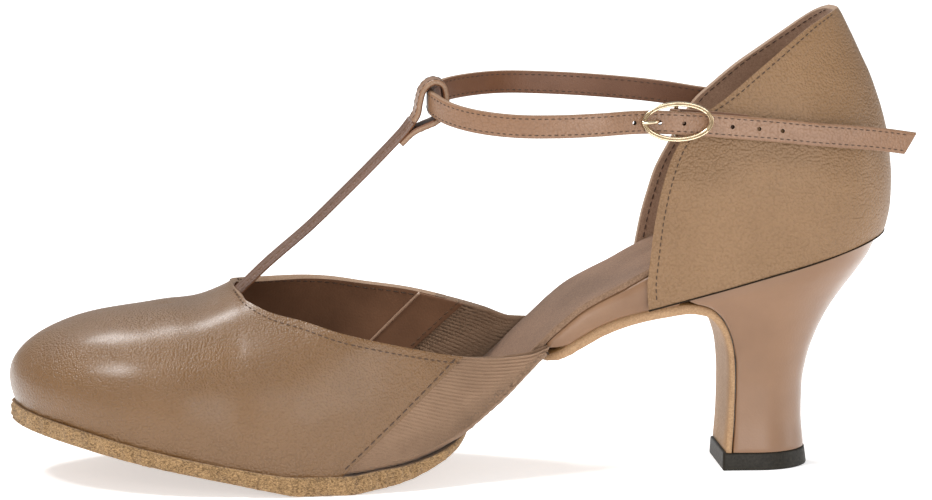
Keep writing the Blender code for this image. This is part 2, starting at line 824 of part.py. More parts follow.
def strip_ring(s):
    """Cross-section of the arch strip, square to its run."""
    here = Vector((STRIP.at(s, "x"), STRIP.at(s, "z")))
    before = Vector((STRIP.at(s - 0.2, "x"), STRIP.at(s - 0.2, "z")))
    after = Vector((STRIP.at(s + 0.2, "x"), STRIP.at(s + 0.2, "z")))
    run = (after - before).normalized()
    down = Vector((run.y, -run.x))
    width = STRIP.at(s, "half_width")
    top = here + down * STRIP_SETBACK
    low = top + down * STRIP.at(s, "thick")
    return [(top.x, -width, top.y), (top.x, width, top.y), (low.x, width - 0.5, low.y),
            (low.x, -width + 0.5, low.y)]


def build_arch_sole(finish):
    """The leather strip under the arch, which turns down the breast of the heel."""
    last = STRIP.rows[-1][0]
    return loft("arch_sole", [strip_ring(last * k / 30) for k in range(31)], finish)


def d_outline(front, back, half_width, breast):
    """Outline of a heel section: round at the back, straight sides, a flat or hollow breast."""
    middle = back - half_width
    front_width = half_width * (0.97 if breast else 1.0)
    points = []
    for k in range(11):
        turn = math.radians(-90 + 18 * k)
        points.append((middle + half_width * math.cos(turn), half_width * math.sin(turn)))
    points.append((front + 0.35 * (middle - front), half_width * 0.985))
    points.append((front, front_width - 0.4))
    points.append((front + breast, front_width * 0.4))
    points.append((front + breast, -front_width * 0.4))
    points.append((front, 0.4 - front_width))
    points.append((front + 0.35 * (middle - front), -half_width * 0.985))
    return points


def heel_ring(s):
    """Section of the heel, level at the tip and inclined towards the top."""
    front, back = HEEL.at(s, "front_x"), HEEL.at(s, "back_x")
    low, high = HEEL.at(s, "front_z"), HEEL.at(s, "back_z")
    slope = (high - low) / (back - front)
    narrow = min(1.0, max(0.0, (s - 5) / 4))
    ring = []
    for x, y in d_outline(front, back, HEEL.at(s, "half_width"), HEEL_BREAST * (1 - narrow)):
        forward = min(1.0, max(0.0, (5.0 - x) / 28.0))
        ring.append((x, y * (1 - 0.16 * narrow * forward), low + slope * (x - front)))
    return ring


def build_heel(finish):
    """The covered heel."""
    last = HEEL.rows[-1][0]
    return loft("heel", [heel_ring(last * k / 14) for k in range(15)], finish)


def build_heel_tip(finish):
    """The rubber top piece, a little wider at the floor."""
    rings = []
    for z, flare in ((0.0, TIP_FLARE), (0.8, TIP_FLARE), (TIP_HEIGHT, 0.0)):
        outline = d_outline(TIP_FRONT_X, TIP_BACK_X - TIP_FLARE + flare, TIP_HALF_WIDTH - TIP_FLARE + flare, 0.0)
        rings.append([(x, y, z) for x, y in outline])
    return loft("heel_tip", rings, finish)


def ribbon_rings(route, leans, width, thick):
    """Cross-sections of a strap that stands on its edge along a route."""
    rings = []
    for point, along, lean in zip(route, tangents(route), leans):
        out = Vector((along.y, -along.x, 0.0)).normalized()
        tilt = math.radians(lean) * (1 if point.y < 0 else -1)
        up = Vector((0.0, math.sin(tilt), math.cos(tilt)))
        up = (up - along * up.dot(along)).normalized()
        out = up.cross(along).normalized()
        w, t = width / 2, thick / 2
        rings.append([tuple(point + up * a + out * b) for a, b in ((w, t), (w, -t), (-w, -t), (-w, t))])
    return rings


def ribbon_route(rows, spacing):
    """A strap's smooth centre line, and its lean at each point."""
    route = smooth_route([row[:3] for row in rows], spacing)
    leans = []
    for point in route:
        nearest = sorted(rows, key=lambda row: (Vector(row[:3]) - point).length)[:2]
        weights = [1 / ((Vector(row[:3]) - point).length + 0.01) for row in nearest]
        leans.append(sum(w * row[3] for w, row in zip(weights, nearest)) / sum(weights))
    return route, leans


def cut(target, cutter):
    """Take a guide's shape out of an object."""
    cutter.hide_render = True
    cutter.display_type = "WIRE"
    step = target.modifiers.new("Cut " + cutter.name, "BOOLEAN")
    step.operation = "DIFFERENCE"
    step.solver = "EXACT"
    step.object = cutter


def cylinder(name, centre, axis, radius, length, sides, finish):
    """A round bar about a centre."""
    axis = Vector(axis).normalized()
    first = axis.orthogonal().normalized()
    second = axis.cross(first)
    rings = []
    for end in (-0.5, 0.5):
        middle = Vector(centre) + axis * length * end
        turns = [2 * math.pi * k / sides for k in range(sides)]
        rings.append([tuple(middle + (first * math.cos(a) + second * math.sin(a)) * radius) for a in turns])
    return loft(name, rings, finish)


def build_ankle_strap(finish):
    """The strap from the inner side through the loop and the buckle, with its holes and slanted tail."""
    route, leans = ribbon_route(STRAP_ROUTE, 4.0)
    rings = ribbon_rings(route, leans, STRAP_WIDTH, STRAP_THICK)
    slant = tangents(route)[-1] * STRAP_TAIL_SLANT
    rings[-1] = [tuple(Vector(p) - slant * (0 if k in (0, 1) else 1)) for k, p in enumerate(rings[-1])]
    strap = loft("ankle_strap", rings, finish)
    fine, _ = ribbon_route(STRAP_ROUTE, 0.5)
    near = [point for point in fine if point.y < -15]
    for k in range(HOLE_COUNT):
        x = HOLE_FIRST_X + HOLE_PITCH * k
        centre = min(near, key=lambda point: abs(point.x - x))
        diameter = PRONG_HOLE_DIAMETER if k == PRONG_HOLE else HOLE_DIAMETER
        cut(strap, cylinder("hole_%d" % (k + 1), centre, (0, 1, 0), diameter / 2, 8.0, 8, finish))
    return strap


def bar_rings(route_rows, spacing, width, thick):
    """Cross-sections of the T strap, flat across the shoe along a route in the middle plane."""
    route = smooth_route([(x, 0.0, z) for x, z in route_rows], spacing)
    rings = []
    for point, along in zip(route, tangents(route)):
        up = Vector((-along.z, 0.0, along.x))
        w, t = width / 2, thick / 2
        corners = ((w, t), (w, -t), (-w, -t), (-w, t))
        rings.append([tuple(point + Vector((0, 1, 0)) * a + up * b) for a, b in corners])
    return rings


def build_t_strap(finish):
    """The bar from the throat with the loop at its end, one piece."""
    bar = loft("t_strap", bar_rings(BAR_ROUTE, 5.0, BAR_WIDTH, BAR_THICK), finish)
    loop = loft("t_strap_loop", bar_rings(LOOP_ROUTE, 1.6, BAR_WIDTH - 0.3, BAR_THICK - 0.1), finish)
    loop.hide_render = True
    loop.display_type = "WIRE"
    join = bar.modifiers.new("Loop", "BOOLEAN")
    join.operation = "UNION"
    join.solver = "EXACT"
    join.object = loop
    return bar


def wire(name, route, radius, sides, finish, closed=False):
    """A round wire along a route."""
    rings = []
    count = len(route)
    for i, point in enumerate(route):
        before = route[(i - 1) % count] if closed else route[max(i - 1, 0)]
        after = route[(i + 1) % count] if closed else route[min(i + 1, count - 1)]
        along = (after - before).normalized()
        first = along.cross(Vector((0, 1, 0)) if abs(along.y) < 0.9 else Vector((0, 0, 1))).normalized()
        second = along.cross(first)
        turns = [2 * math.pi * (k + 0.5) / sides for k in range(sides)]
        rings.append([tuple(point + (first * math.cos(a) + second * math.sin(a)) * radius) for a in turns])
    return loft(name, rings, finish, closed)


def rim_point(turn):
    """Centre of the buckle's oval wire, which lies over the strap."""
    x = BUCKLE_X + (BUCKLE_LENGTH - BUCKLE_WIRE) / 2 * math.cos(turn)
    z = BUCKLE_Z + (BUCKLE_HEIGHT - BUCKLE_WIRE) / 2 * math.sin(turn)
    return Vector((x, BUCKLE_RIM_Y, z))


def build_buckle(finish):
    """The oval frame with its dropped bar behind the strap, and the prong."""
    oval = [rim_point(2 * math.pi * k / 28) for k in range(28)]
    frame = wire("buckle_frame", oval, BUCKLE_WIRE / 2, 8, finish, closed=True)
    drop = smooth_route([(BUCKLE_X, y, BUCKLE_Z + z) for z, y in BAR_DROP_ROUTE], 0.9)
    bar = wire("buckle_bar", drop, BUCKLE_BAR / 2, 8, finish)
    bar.hide_render = True
    bar.display_type = "WIRE"
    join = frame.modifiers.new("Bar", "BOOLEAN")
    join.operation = "UNION"
    join.solver = "EXACT"
    join.object = bar
    route = smooth_route([(x, y, BUCKLE_Z) for x, y in PRONG_ROUTE], 1.0)
    prong = wire("buckle_prong", route, PRONG_WIRE / 2, 6, finish)
    return frame, prong


def build_buckle_tab(finish):
    """The tab on the quarter, folded round the bar and slotted for the prong."""
    route, leans = ribbon_route(TAB_ROUTE, 0.9)
    tab = loft("buckle_tab", ribbon_rings(route, leans, TAB_WIDTH, TAB_THICK), finish)
    slot = cylinder("tab_slot", (BUCKLE_X - 0.6, BUCKLE_BAR_Y, BUCKLE_Z), (0, 0, 1), TAB_SLOT_REACH,
                    TAB_SLOT, 12, finish)
    cut(tab, slot)
    return tab


def main():
    for old in list(bpy.data.objects):
        bpy.data.objects.remove(old, do_unlink=True)
    pebbled = material("pebbled_leather", (0.36, 0.22, 0.13), 0.45)
    smooth_leather = material("smooth_leather", (0.43, 0.25, 0.16), 0.35)
    strap_leather = material("strap_leather", (0.40, 0.24, 0.16), 0.45)
    elastic = material("elastic", (0.30, 0.20, 0.13), 0.9)
    suede = material("suede", (0.36, 0.25, 0.19), 0.95)
    rough_suede = material("rough_suede", (0.36, 0.22, 0.10), 0.95)
    sole_leather = material("sole_leather", (0.50, 0.33, 0.15), 0.5)
    rubber = material("rubber", (0.05, 0.045, 0.03), 0.6)
    brass = material("brass", (0.85, 0.68, 0.42), 0.2, 1.0)
    build_vamp(pebbled)
    build_gore(elastic)
    build_quarter(pebbled)
    build_insole(suede)
    build_arch_board(smooth_leather)
    build_forepart_sole(rough_suede)
    build_arch_sole(sole_leather)
    build_heel(smooth_leather)
    build_heel_tip(rubber)
    build_t_strap(strap_leather)
    build_ankle_strap(strap_leather)
    build_buckle(brass)
    build_buckle_tab(strap_leather)


if __name__ == "__main__":
    main()
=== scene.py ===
"""Dressed t strap shoe for the left foot: leather, elastic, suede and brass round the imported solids.

Shapes are worked out in millimetres from the sizes of the last, and build_mesh turns them into metres.
+X points to the back of the heel, +Y to the inner side of the foot and +Z up.
"""
from __future__ import annotations

import logging
import math
from dataclasses import dataclass
from enum import Enum
from typing import Callable, Sequence

import bmesh
import bpy
from mathutils import Matrix, Vector, noise

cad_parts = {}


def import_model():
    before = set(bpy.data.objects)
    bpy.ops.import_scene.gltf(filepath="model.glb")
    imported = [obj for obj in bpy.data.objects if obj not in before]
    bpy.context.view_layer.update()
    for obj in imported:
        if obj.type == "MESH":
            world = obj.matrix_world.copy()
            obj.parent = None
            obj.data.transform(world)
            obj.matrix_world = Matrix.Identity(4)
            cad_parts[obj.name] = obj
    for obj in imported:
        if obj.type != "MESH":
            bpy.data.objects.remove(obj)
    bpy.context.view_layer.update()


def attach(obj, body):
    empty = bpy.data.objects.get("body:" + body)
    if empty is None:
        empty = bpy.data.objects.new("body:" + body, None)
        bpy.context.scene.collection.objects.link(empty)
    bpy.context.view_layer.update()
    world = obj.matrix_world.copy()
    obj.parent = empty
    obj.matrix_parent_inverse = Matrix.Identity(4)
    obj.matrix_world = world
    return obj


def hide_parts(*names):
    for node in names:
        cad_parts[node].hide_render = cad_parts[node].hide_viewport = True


LOG = logging.getLogger("t_strap_shoe")

MM = 0.001
ROOT = "root"
MERGE_WITHIN = 0.002
BEVEL_FACES = 2
SHARP_DEGREES = 35.0
THREAD_LIFT = 0.02

Colour = tuple[float, float, float]
Point = Sequence[float]
Pairs = Sequence[tuple[float, float]]
Ring = list[Vector]
Grid = list[list[Vector]]
Piece = bpy.types.Object
Material = bpy.types.Material
Finishes = dict[str, bpy.types.Material]
Socket = bpy.types.NodeSocket


class Side(Enum):
    """Side of the foot, as the sign of Y."""

    LATERAL = -1
    MEDIAL = 1

    @property
    def column(self) -> str:
        """Name of the side's column in a table."""
        return self.name.lower()


class Grain(Enum):
    """What the relief of a finish is made of."""

    PEBBLE = "raised pebbles, darker in their valleys"
    SMOOTH = "the same pebbles in the relief alone"
    NAP = "brushed fibres"
    PLAIN = "slow swells"


class Stitch(Enum):
    """A kind of stitch: the finish of its thread, its pitch, its length and its width."""

    TOPLINE = ("thread_dark", 1.8, 1.3, 0.36)
    SEAM = ("thread_dark", 2.3, 1.8, 0.42)
    LINING = ("thread_dark", 2.1, 1.6, 0.4)
    FACING = ("thread_tan", 2.1, 1.6, 0.4)
    STRAP = ("thread_dark", 1.75, 1.15, 0.3)
    BAR = ("thread_tan", 2.1, 1.5, 0.36)
    LOOP = ("thread_dark", 1.75, 1.2, 0.32)


class Table:
    """Sizes in named columns, a row for each section, read smoothly between the rows."""

    def __init__(self, names: str, *rows: tuple[float, ...]) -> None:
        """Keep the rows.

        Args:
            names: The columns' names, the key's first, with spaces between them.
            rows: A tuple for each section, in the order of its key.
        """
        self.names = names.split()
        self.rows = rows
        self.keys = [row[0] for row in rows]

    def at(self, key: float, name: str) -> float:
        """Read a column at a key, by a monotone cubic that is held level past both ends.

        Args:
            key: Value of the first column.
            name: Name of the column to read.

        Returns:
            The column's value there.
        """
        values = [row[self.names.index(name)] for row in self.rows]
        keys = self.keys
        if key <= keys[0]:
            return values[0]
        if key >= keys[-1]:
            return values[-1]
        i = max(k for k in range(len(keys) - 1) if keys[k] <= key)
        step = keys[i + 1] - keys[i]
        t = (key - keys[i]) / step
        rise = values[i + 1] - values[i]
        start = self._slope(values, i) * step
        end = self._slope(values, i + 1) * step
        return (values[i] + t * start + t * t * (3 * rise - 2 * start - end)
                + t * t * t * (start + end - 2 * rise))

    def _slope(self, values: list[float], k: int) -> float:
        """Slope at row k: the harmonic mean of the slopes beside it, level at a turn.

        Args:
            values: The column.
            k: Number of the row.

        Returns:
            Change of the column for each unit of the key.
        """
        def secant(j: int) -> float:
            """Slope between rows j and j + 1."""
            return (values[j + 1] - values[j]) / (self.keys[j + 1] - self.keys[j])

        last = len(self.keys) - 1
        if k in (0, last):
            return secant(min(k, last - 1))
        before, after = secant(k - 1), secant(k)
        if before * after <= 0:
            return 0.0
        return 2 * before * after / (before + after)


SOLE = Table(
    "x bottom thick lateral medial",
    (-203.2, 15.6, 4.6, 0.05, 0.05), (-188.0, 12.5, 4.6, 0.60, 0.59), (-172.0, 8.9, 4.3, 0.84, 0.83),
    (-156.0, 5.6, 4.0, 0.97, 0.96), (-146.0, 3.5, 4.2, 1.00, 0.98), (-136.0, 1.4, 4.5, 1.02, 0.98),
    (-128.0, 0.0, 5.0, 1.01, 0.96), (-115.0, 0.0, 4.9, 0.98, 0.89), (-108.0, 1.0, 4.8, 0.94, 0.85),
    (-101.0, 2.4, 4.2, 0.89, 0.80), (-94.0, 5.0, 3.3, 0.83, 0.75), (-88.0, 8.2, 2.5, 0.76, 0.70),
    (-84.0, 11.0, 1.9, 0.71, 0.66), (-80.7, 14.0, 1.3, 0.66, 0.62),
)
LAST = Table(
    "x lateral medial",
    (-146.0, 38.6, 37.8), (-136.0, 39.5, 38.2), (-120.0, 38.6, 35.6), (-110.0, 36.9, 33.2),
    (-100.0, 34.4, 30.8), (-90.0, 31.2, 28.4), (-80.0, 27.6, 25.4), (-70.0, 24.0, 22.5),
    (-60.0, 21.0, 20.0), (-50.0, 19.9, 18.8), (-40.0, 20.7, 19.5), (-33.0, 21.9, 20.8),
    (-20.0, 23.9, 22.9), (-10.0, 25.0, 24.2), (8.0, 25.6, 25.0),
)
RIDGE = Table(
    "x z",
    (-170.0, 44.9), (-162.0, 45.6), (-155.0, 46.8), (-151.0, 48.1), (-147.0, 50.1), (-144.3, 51.6),
    (-140.0, 52.8), (-134.0, 54.4), (-127.0, 57.0), (-117.0, 63.0), (-106.0, 67.0), (-96.0, 66.0),
    (-84.0, 60.0), (-60.0, 50.0),
)
TOPLINE = Table(
    "x lateral medial",
    (-144.3, 51.6, 51.6), (-142.6, 50.2, 51.0), (-139.4, 48.7, 50.3), (-134.5, 47.0, 49.9),
    (-127.0, 45.5, 49.8), (-117.0, 42.6, 48.9), (-106.0, 39.9, 47.2), (-96.0, 37.5, 45.9),
    (-84.0, 35.0, 43.4), (-74.0, 34.0, 40.6), (-66.0, 34.3, 37.8), (-60.0, 36.0, 37.4),
)
INSOLE = Table(
    "x bottom lean inset",
    (-202.0, 20.6, 0.0, 2.4), (-188.0, 17.5, 0.0, 2.4), (-172.0, 13.6, 0.0, 2.4),
    (-156.0, 10.0, 0.0, 2.4), (-146.0, 8.1, 0.0, 2.4), (-136.0, 6.3, 0.0, 2.4), (-126.0, 5.5, 0.0, 2.4),
    (-118.0, 6.9, 0.0, 2.4), (-108.0, 7.9, 0.0, 3.0), (-101.0, 8.9, 0.0, 3.4), (-94.0, 10.7, 0.0, 3.4),
    (-88.0, 13.3, 0.0, 3.4), (-84.0, 15.9, 0.2, 3.4), (-80.0, 19.2, 0.5, 3.4), (-74.0, 24.1, 0.7, 4.0),
    (-69.0, 28.9, 0.9, 4.2), (-64.0, 34.1, 1.0, 4.2), (-60.0, 38.0, 1.0, 3.8), (-57.0, 40.8, 1.0, 3.0),
    (-51.0, 45.7, 1.0, 2.4), (-45.5, 48.8, 0.9, 2.4), (-39.6, 51.7, 0.7, 2.4), (-33.0, 55.3, 0.4, 2.4),
    (-27.0, 58.0, 0.3, 2.4), (-15.0, 61.2, 0.0, 2.4), (0.0, 63.6, 0.0, 2.4), (15.0, 65.6, 0.0, 2.4),
    (32.0, 67.8, 0.0, 2.4),
)
STRIP = Table(
    "s x z half_width thick",
    (0.0, -61.5, 31.9, 9.0, 1.6), (1.0, -60.0, 32.6, 12.5, 2.0), (2.0, -57.0, 34.1, 15.2, 2.6),
    (3.0, -51.0, 37.7, 15.8, 2.8), (4.0, -45.7, 40.6, 16.0, 2.8), (5.0, -38.0, 43.5, 16.6, 2.8),
    (6.0, -30.0, 45.4, 17.6, 2.8), (7.0, -22.5, 46.4, 18.4, 2.6), (8.0, -17.2, 45.5, 18.4, 2.4),
    (9.0, -13.4, 42.4, 17.4, 2.0), (10.0, -10.8, 37.6, 15.8, 1.6), (11.0, -9.4, 31.5, 14.4, 1.5),
    (12.0, -9.0, 24.0, 13.4, 1.5), (13.0, -9.2, 14.0, 13.0, 1.5), (14.0, -9.8, 4.8, 13.3, 1.5),
)
HEEL = Table(
    "s back_x back_z front_x front_z half_width",
    (0.0, 11.6, 4.8, -9.5, 4.8, 13.6), (1.0, 10.9, 14.0, -8.9, 14.0, 13.2),
    (2.0, 11.1, 22.0, -8.7, 22.0, 13.4), (3.0, 12.4, 29.5, -8.8, 28.5, 14.4),
    (4.0, 14.6, 36.0, -9.7, 34.5, 16.0), (5.0, 17.8, 42.5, -11.6, 39.8, 18.2),
    (6.0, 21.6, 48.2, -14.2, 43.6, 20.6), (7.0, 25.8, 53.8, -17.6, 46.0, 22.8),
    (8.0, 29.0, 58.6, -21.0, 47.0, 24.4), (9.0, 31.2, 63.6, -23.6, 48.2, 25.4),
)
QUARTER = Table(
    "z back_x share lateral medial",
    (45.0, 24.0, 1.00, -33.7, -32.6), (52.0, 27.0, 1.00, -34.1, -33.0), (57.0, 29.4, 1.00, -33.6, -32.4),
    (62.0, 31.8, 1.01, -33.1, -31.4), (66.0, 33.5, 1.02, -32.7, -30.5), (72.0, 34.6, 1.03, -31.8, -28.7),
    (78.0, 34.8, 1.02, -30.5, -26.7), (86.0, 34.2, 0.98, -28.0, -22.6), (91.0, 33.5, 0.95, -25.4, -20.0),
    (97.0, 32.0, 0.91, -20.8, -16.2), (102.0, 30.4, 0.87, -13.8, -10.8), (107.0, 28.6, 0.82, -7.6, -5.0),
    (112.0, 26.3, 0.76, -1.4, 1.8), (116.5, 24.2, 0.71, 4.3, 7.8), (120.5, 22.2, 0.66, 10.0, 12.7),
    (123.0, 20.9, 0.63, 15.0, 16.0), (124.4, 20.0, 0.62, 18.6, 18.6),
)


def spread(points: Sequence[Point], count: int) -> list[Vector]:
    """Read a line of points at even steps.

    Args:
        points: Points of the line.
        count: How many points to read.

    Returns:
        The points at even steps, the ends included.
    """
    line = [Vector(point) for point in points]
    lengths = [0.0]
    for a, b in zip(line, line[1:]):
        lengths.append(lengths[-1] + (b - a).length)
    out: list[Vector] = []
    i = 0
    for k in range(count):
        goal = lengths[-1] * k / (count - 1)
        while i < len(line) - 2 and lengths[i + 1] < goal:
            i += 1
        step = max(lengths[i + 1] - lengths[i], 1e-9)
        out.append(line[i].lerp(line[i + 1], (goal - lengths[i]) / step))
    return out


def steps(start: float, step: float, end: float) -> list[float]:
    """Find the places at even steps after a start and before an end."""
    return [start + step * k for k in range(1, math.ceil((end - start) / step))]


def join_halves(lateral: list, medial: list) -> list:
    """Join both sides' rows, from the outer side to the inner, where they share the first one."""
    return list(reversed(lateral)) + medial[1:]


def inwards(points: Sequence[Vector], side: Side, distance: float) -> list[Vector]:
    """Move a side's points a distance towards the middle plane."""
    return [point - Vector((0, side.value * distance, 0)) for point in points]


def smooth_route(points: Sequence[Point], spacing: float) -> list[Vector]:
    """Run a smooth curve through a route's points.

    Args:
        points: Points of the route.
        spacing: Distance between the points that come back, about.

    Returns:
        Points of the curve at even steps.
    """
    route = [Vector(point) for point in points]
    route = [route[0] * 2 - route[1]] + route + [route[-1] * 2 - route[-2]]
    fine: list[Vector] = []
    for a, b, c, d in zip(route, route[1:], route[2:], route[3:]):
        for k in range(12):
            t = k / 12
            fine.append(0.5 * (2 * b + (c - a) * t + (2 * a - 5 * b + 4 * c - d) * t * t
                               + (3 * b - a - 3 * c + d) * t ** 3))
    fine.append(route[-2])
    length = sum((b - a).length for a, b in zip(fine, fine[1:]))
    return spread(fine, max(2, round(length / spacing)) + 1)


def tangents(route: list[Vector]) -> list[Vector]:
    """Find the unit vector of travel at each point of a route."""
    ends = [route[0], *route, route[-1]]
    return [(after - before).normalized() for before, after in zip(ends, ends[2:])]


def build_mesh(name: str, points: Sequence[Point], faces: Sequence[Sequence[int]],
               finishes: Sequence[Material], slots: Sequence[int] = (),
               marks: dict[str, Sequence[float]] | None = None) -> Piece:
    """Make an object from points in millimetres, its place in its mesh.

    Args:
        name: Name of the piece.
        points: Places of the vertices.
        faces: Vertex numbers of each face.
        finishes: Materials in the order of their slots.
        slots: Slot of each face, all the first when empty.
        marks: Named values of the vertices, for materials and node trees.

    Returns:
        The object, linked to the scene.
    """
    mesh = bpy.data.meshes.new(name)
    mesh.from_pydata([Vector(point) * MM for point in points], [], faces)
    for finish in finishes:
        mesh.materials.append(finish)
    for polygon, slot in zip(mesh.polygons, slots):
        polygon.material_index = slot
    for mark, values in (marks or {}).items():
        layer = mesh.attributes.new(mark, "FLOAT", "POINT")
        layer.data.foreach_set("value", values)
    mesh.update()
    mesh.shade_smooth()
    made = bpy.data.objects.new(name, mesh)
    bpy.context.scene.collection.objects.link(made)
    return made


def face_outwards(piece: Piece) -> None:
    """Merge a closed mesh's doubles and turn its faces outwards.

    Args:
        piece: The object whose mesh is mended.
    """
    shape = bmesh.new()
    shape.from_mesh(piece.data)
    bmesh.ops.remove_doubles(shape, verts=shape.verts, dist=MERGE_WITHIN * MM)
    bmesh.ops.dissolve_degenerate(shape, dist=MERGE_WITHIN / 2 * MM, edges=shape.edges)
    bmesh.ops.recalc_face_normals(shape, faces=shape.faces)
    shape.to_mesh(piece.data)
    shape.free()


def settle(piece: Piece) -> None:
    """Turn a piece's modifiers into plain mesh.

    Args:
        piece: The object with its modifiers.
    """
    graph = bpy.context.evaluated_depsgraph_get()
    graph.update()
    mesh = bpy.data.meshes.new_from_object(piece.evaluated_get(graph), depsgraph=graph)
    piece.modifiers.clear()
    old = piece.data
    piece.data = mesh
    bpy.data.meshes.remove(old)
    piece.data.name = piece.name


def bevel(piece: Piece, width: float, angle: float) -> None:
    """Round the hard edges of a piece.

    Args:
        piece: The object to ease.
        width: Width of the rounding, in millimetres.
        angle: Edges sharper than this many degrees are rounded.
    """
    step = piece.modifiers.new("Eased edge", "BEVEL")
    step.width = width * MM
    step.segments = BEVEL_FACES
    step.limit_method = "ANGLE"
    step.angle_limit = math.radians(angle)


def punch(piece: Piece, cutters: Sequence[Piece], transfer: bool) -> None:
    """Cut rods out of a piece and take them away.

    Args:
        piece: The piece to cut.
        cutters: The rods.
        transfer: Whether the walls of the holes keep the rods' finish.
    """
    for cutter in cutters:
        cut = piece.modifiers.new("Punch", "BOOLEAN")
        cut.operation = "DIFFERENCE"
        cut.solver = "EXACT"
        cut.material_mode = "TRANSFER" if transfer else "INDEX"
        cut.object = cutter
    settle(piece)
    for cutter in cutters:
        bpy.data.objects.remove(cutter, do_unlink=True)
    piece.data.shade_smooth()
    piece.data.set_sharp_from_angle(angle=math.radians(SHARP_DEGREES))


def loft(name: str, rings: Sequence[Sequence[Point]], finishes: Sequence[Material],
         closed: bool = False, pattern: Sequence[int] = ()) -> Piece:
    """Lay a skin over rings of equal count.

    Args:
        name: Name of the piece.
        rings: Cross-sections in order.
        finishes: Materials in the order of their slots.
        closed: Whether the last ring meets the first, with no end faces.
        pattern: Slot of each step of a ring, all the first when empty.

    Returns:
        The closed piece.
    """
    count = len(rings[0])
    points = [point for ring in rings for point in ring]
    faces: list[tuple[int, ...]] = []
    slots: list[int] = []
    for i in range(len(rings) if closed else len(rings) - 1):
        here = i * count
        there = (i + 1) % len(rings) * count
        for j in range(count):
            k = (j + 1) % count
            faces.append((here + j, here + k, there + k, there + j))
        slots += pattern or [0] * count
    if not closed:
        faces += [tuple(range(count)), tuple(range(len(points) - count, len(points)))]
        slots += [slots[0], slots[-1]]
    piece = build_mesh(name, points, faces, finishes, slots)
    face_outwards(piece)
    piece.data.shade_smooth()
    return piece


def wire(name: str, route: list[Vector], profile: Pairs,
         finishes: Sequence[Material], closed: bool = False) -> Piece:
    """Run a small profile along a route.

    Args:
        name: Name of the piece.
        route: Centre line.
        profile: Points of the section, sideways and towards the buckle's side of the shoe.
        finishes: Materials of the piece.
        closed: Whether the route closes on itself.

    Returns:
        The closed wire.
    """
    rings = []
    count = len(route)
    for i, point in enumerate(route):
        before = route[(i - 1) % count] if closed else route[max(i - 1, 0)]
        after = route[(i + 1) % count] if closed else route[min(i + 1, count - 1)]
        along = (after - before).normalized()
        first = along.cross(Vector((0, 1, 0)) if abs(along.y) < 0.9 else Vector((0, 0, 1))).normalized()
        second = along.cross(first)
        rings.append([point + first * a + second * b for a, b in profile])
    return loft(name, rings, finishes, closed)


def round_profile(radius: float, sides: int) -> list[tuple[float, float]]:
    """Points round a circle, at even steps."""
    turns = [2 * math.pi * (k + 0.5) / sides for k in range(sides)]
    return [(radius * math.cos(turn), radius * math.sin(turn)) for turn in turns]


class NodeTree:
    """A small hand for building shader and geometry trees."""

    def __init__(self, tree: bpy.types.NodeTree) -> None:
        """Keep the tree that nodes are added to."""
        self.tree = tree

    def add(self, kind: str, inputs: dict[str | int, object] | None = None,
            **settings: object) -> bpy.types.Node:
        """Add a node.

        Args:
            kind: Blender's name of the node type.
            inputs: Values or output sockets for its inputs, by name or number.
            settings: Properties of the node.

        Returns:
            The node.
        """
        node = self.tree.nodes.new(kind)
        for key, value in settings.items():
            setattr(node, key, value)
        for key, value in (inputs or {}).items():
            socket = node.inputs[key]
            if isinstance(value, Socket):
                self.tree.links.new(value, socket)
            else:
                socket.default_value = value
        return node

    def link(self, start: Socket, end: Socket) -> None:
        """Join two sockets."""
        self.tree.links.new(start, end)

    def math(self, operation: str, *values: object) -> Socket:
        """Add a Math node and hand back its output."""
        node = self.add("ShaderNodeMath", dict(enumerate(values)), operation=operation)
        return node.outputs[0]

    def remap(self, value: object, low: float, high: float, to_low: float, to_high: float) -> Socket:
        """Add a clamped Map Range node and hand back its result."""
        node = self.add("ShaderNodeMapRange", {0: value, 1: low, 2: high, 3: to_low, 4: to_high})
        return node.outputs[0]

    def mix(self, share: Socket, first: Colour, second: Colour) -> Socket:
        """Add a mix of two plain colours, share being that of the second, and hand back its result."""
        node = self.add("ShaderNodeMix", {0: share, 6: (*first, 1.0), 7: (*second, 1.0)}, data_type="RGBA")
        return node.outputs[2]


def shader_group(name: str, inputs: dict[str, float],
                 outputs: Sequence[str]) -> tuple[NodeTree, bpy.types.Node, bpy.types.Node]:
    """Start a shader node group whose sockets are all numbers.

    Args:
        name: Name of the group.
        inputs: Named inputs with their defaults.
        outputs: Names of the outputs.

    Returns:
        The tree's hand, its input node and its output node.
    """
    group = bpy.data.node_groups.new(name, "ShaderNodeTree")
    for socket, value in inputs.items():
        made = group.interface.new_socket(socket, in_out="INPUT", socket_type="NodeSocketFloat")
        made.default_value = value
    for socket in outputs:
        group.interface.new_socket(socket, in_out="OUTPUT", socket_type="NodeSocketFloat")
    tree = NodeTree(group)
    return tree, tree.add("NodeGroupInput"), tree.add("NodeGroupOutput")


def geometry_group(name: str, given: str, sizes: Sequence[str], finish: str) -> NodeTree:
    """Start a geometry node group that takes a mesh, some sizes and a finish.

    Args:
        name: Name of the group.
        given: Name of the mesh socket.
        sizes: Names of the number sockets.
        finish: Name of the material socket.

    Returns:
        The tree's hand.
    """
    group = bpy.data.node_groups.new(name, "GeometryNodeTree")
    for socket, kind in ((given, "Geometry"), *[(size, "Float") for size in sizes], (finish, "Material")):
        group.interface.new_socket(socket, in_out="INPUT", socket_type="NodeSocket" + kind)
    group.interface.new_socket("Made", in_out="OUTPUT", socket_type="NodeSocketGeometry")
    return NodeTree(group)


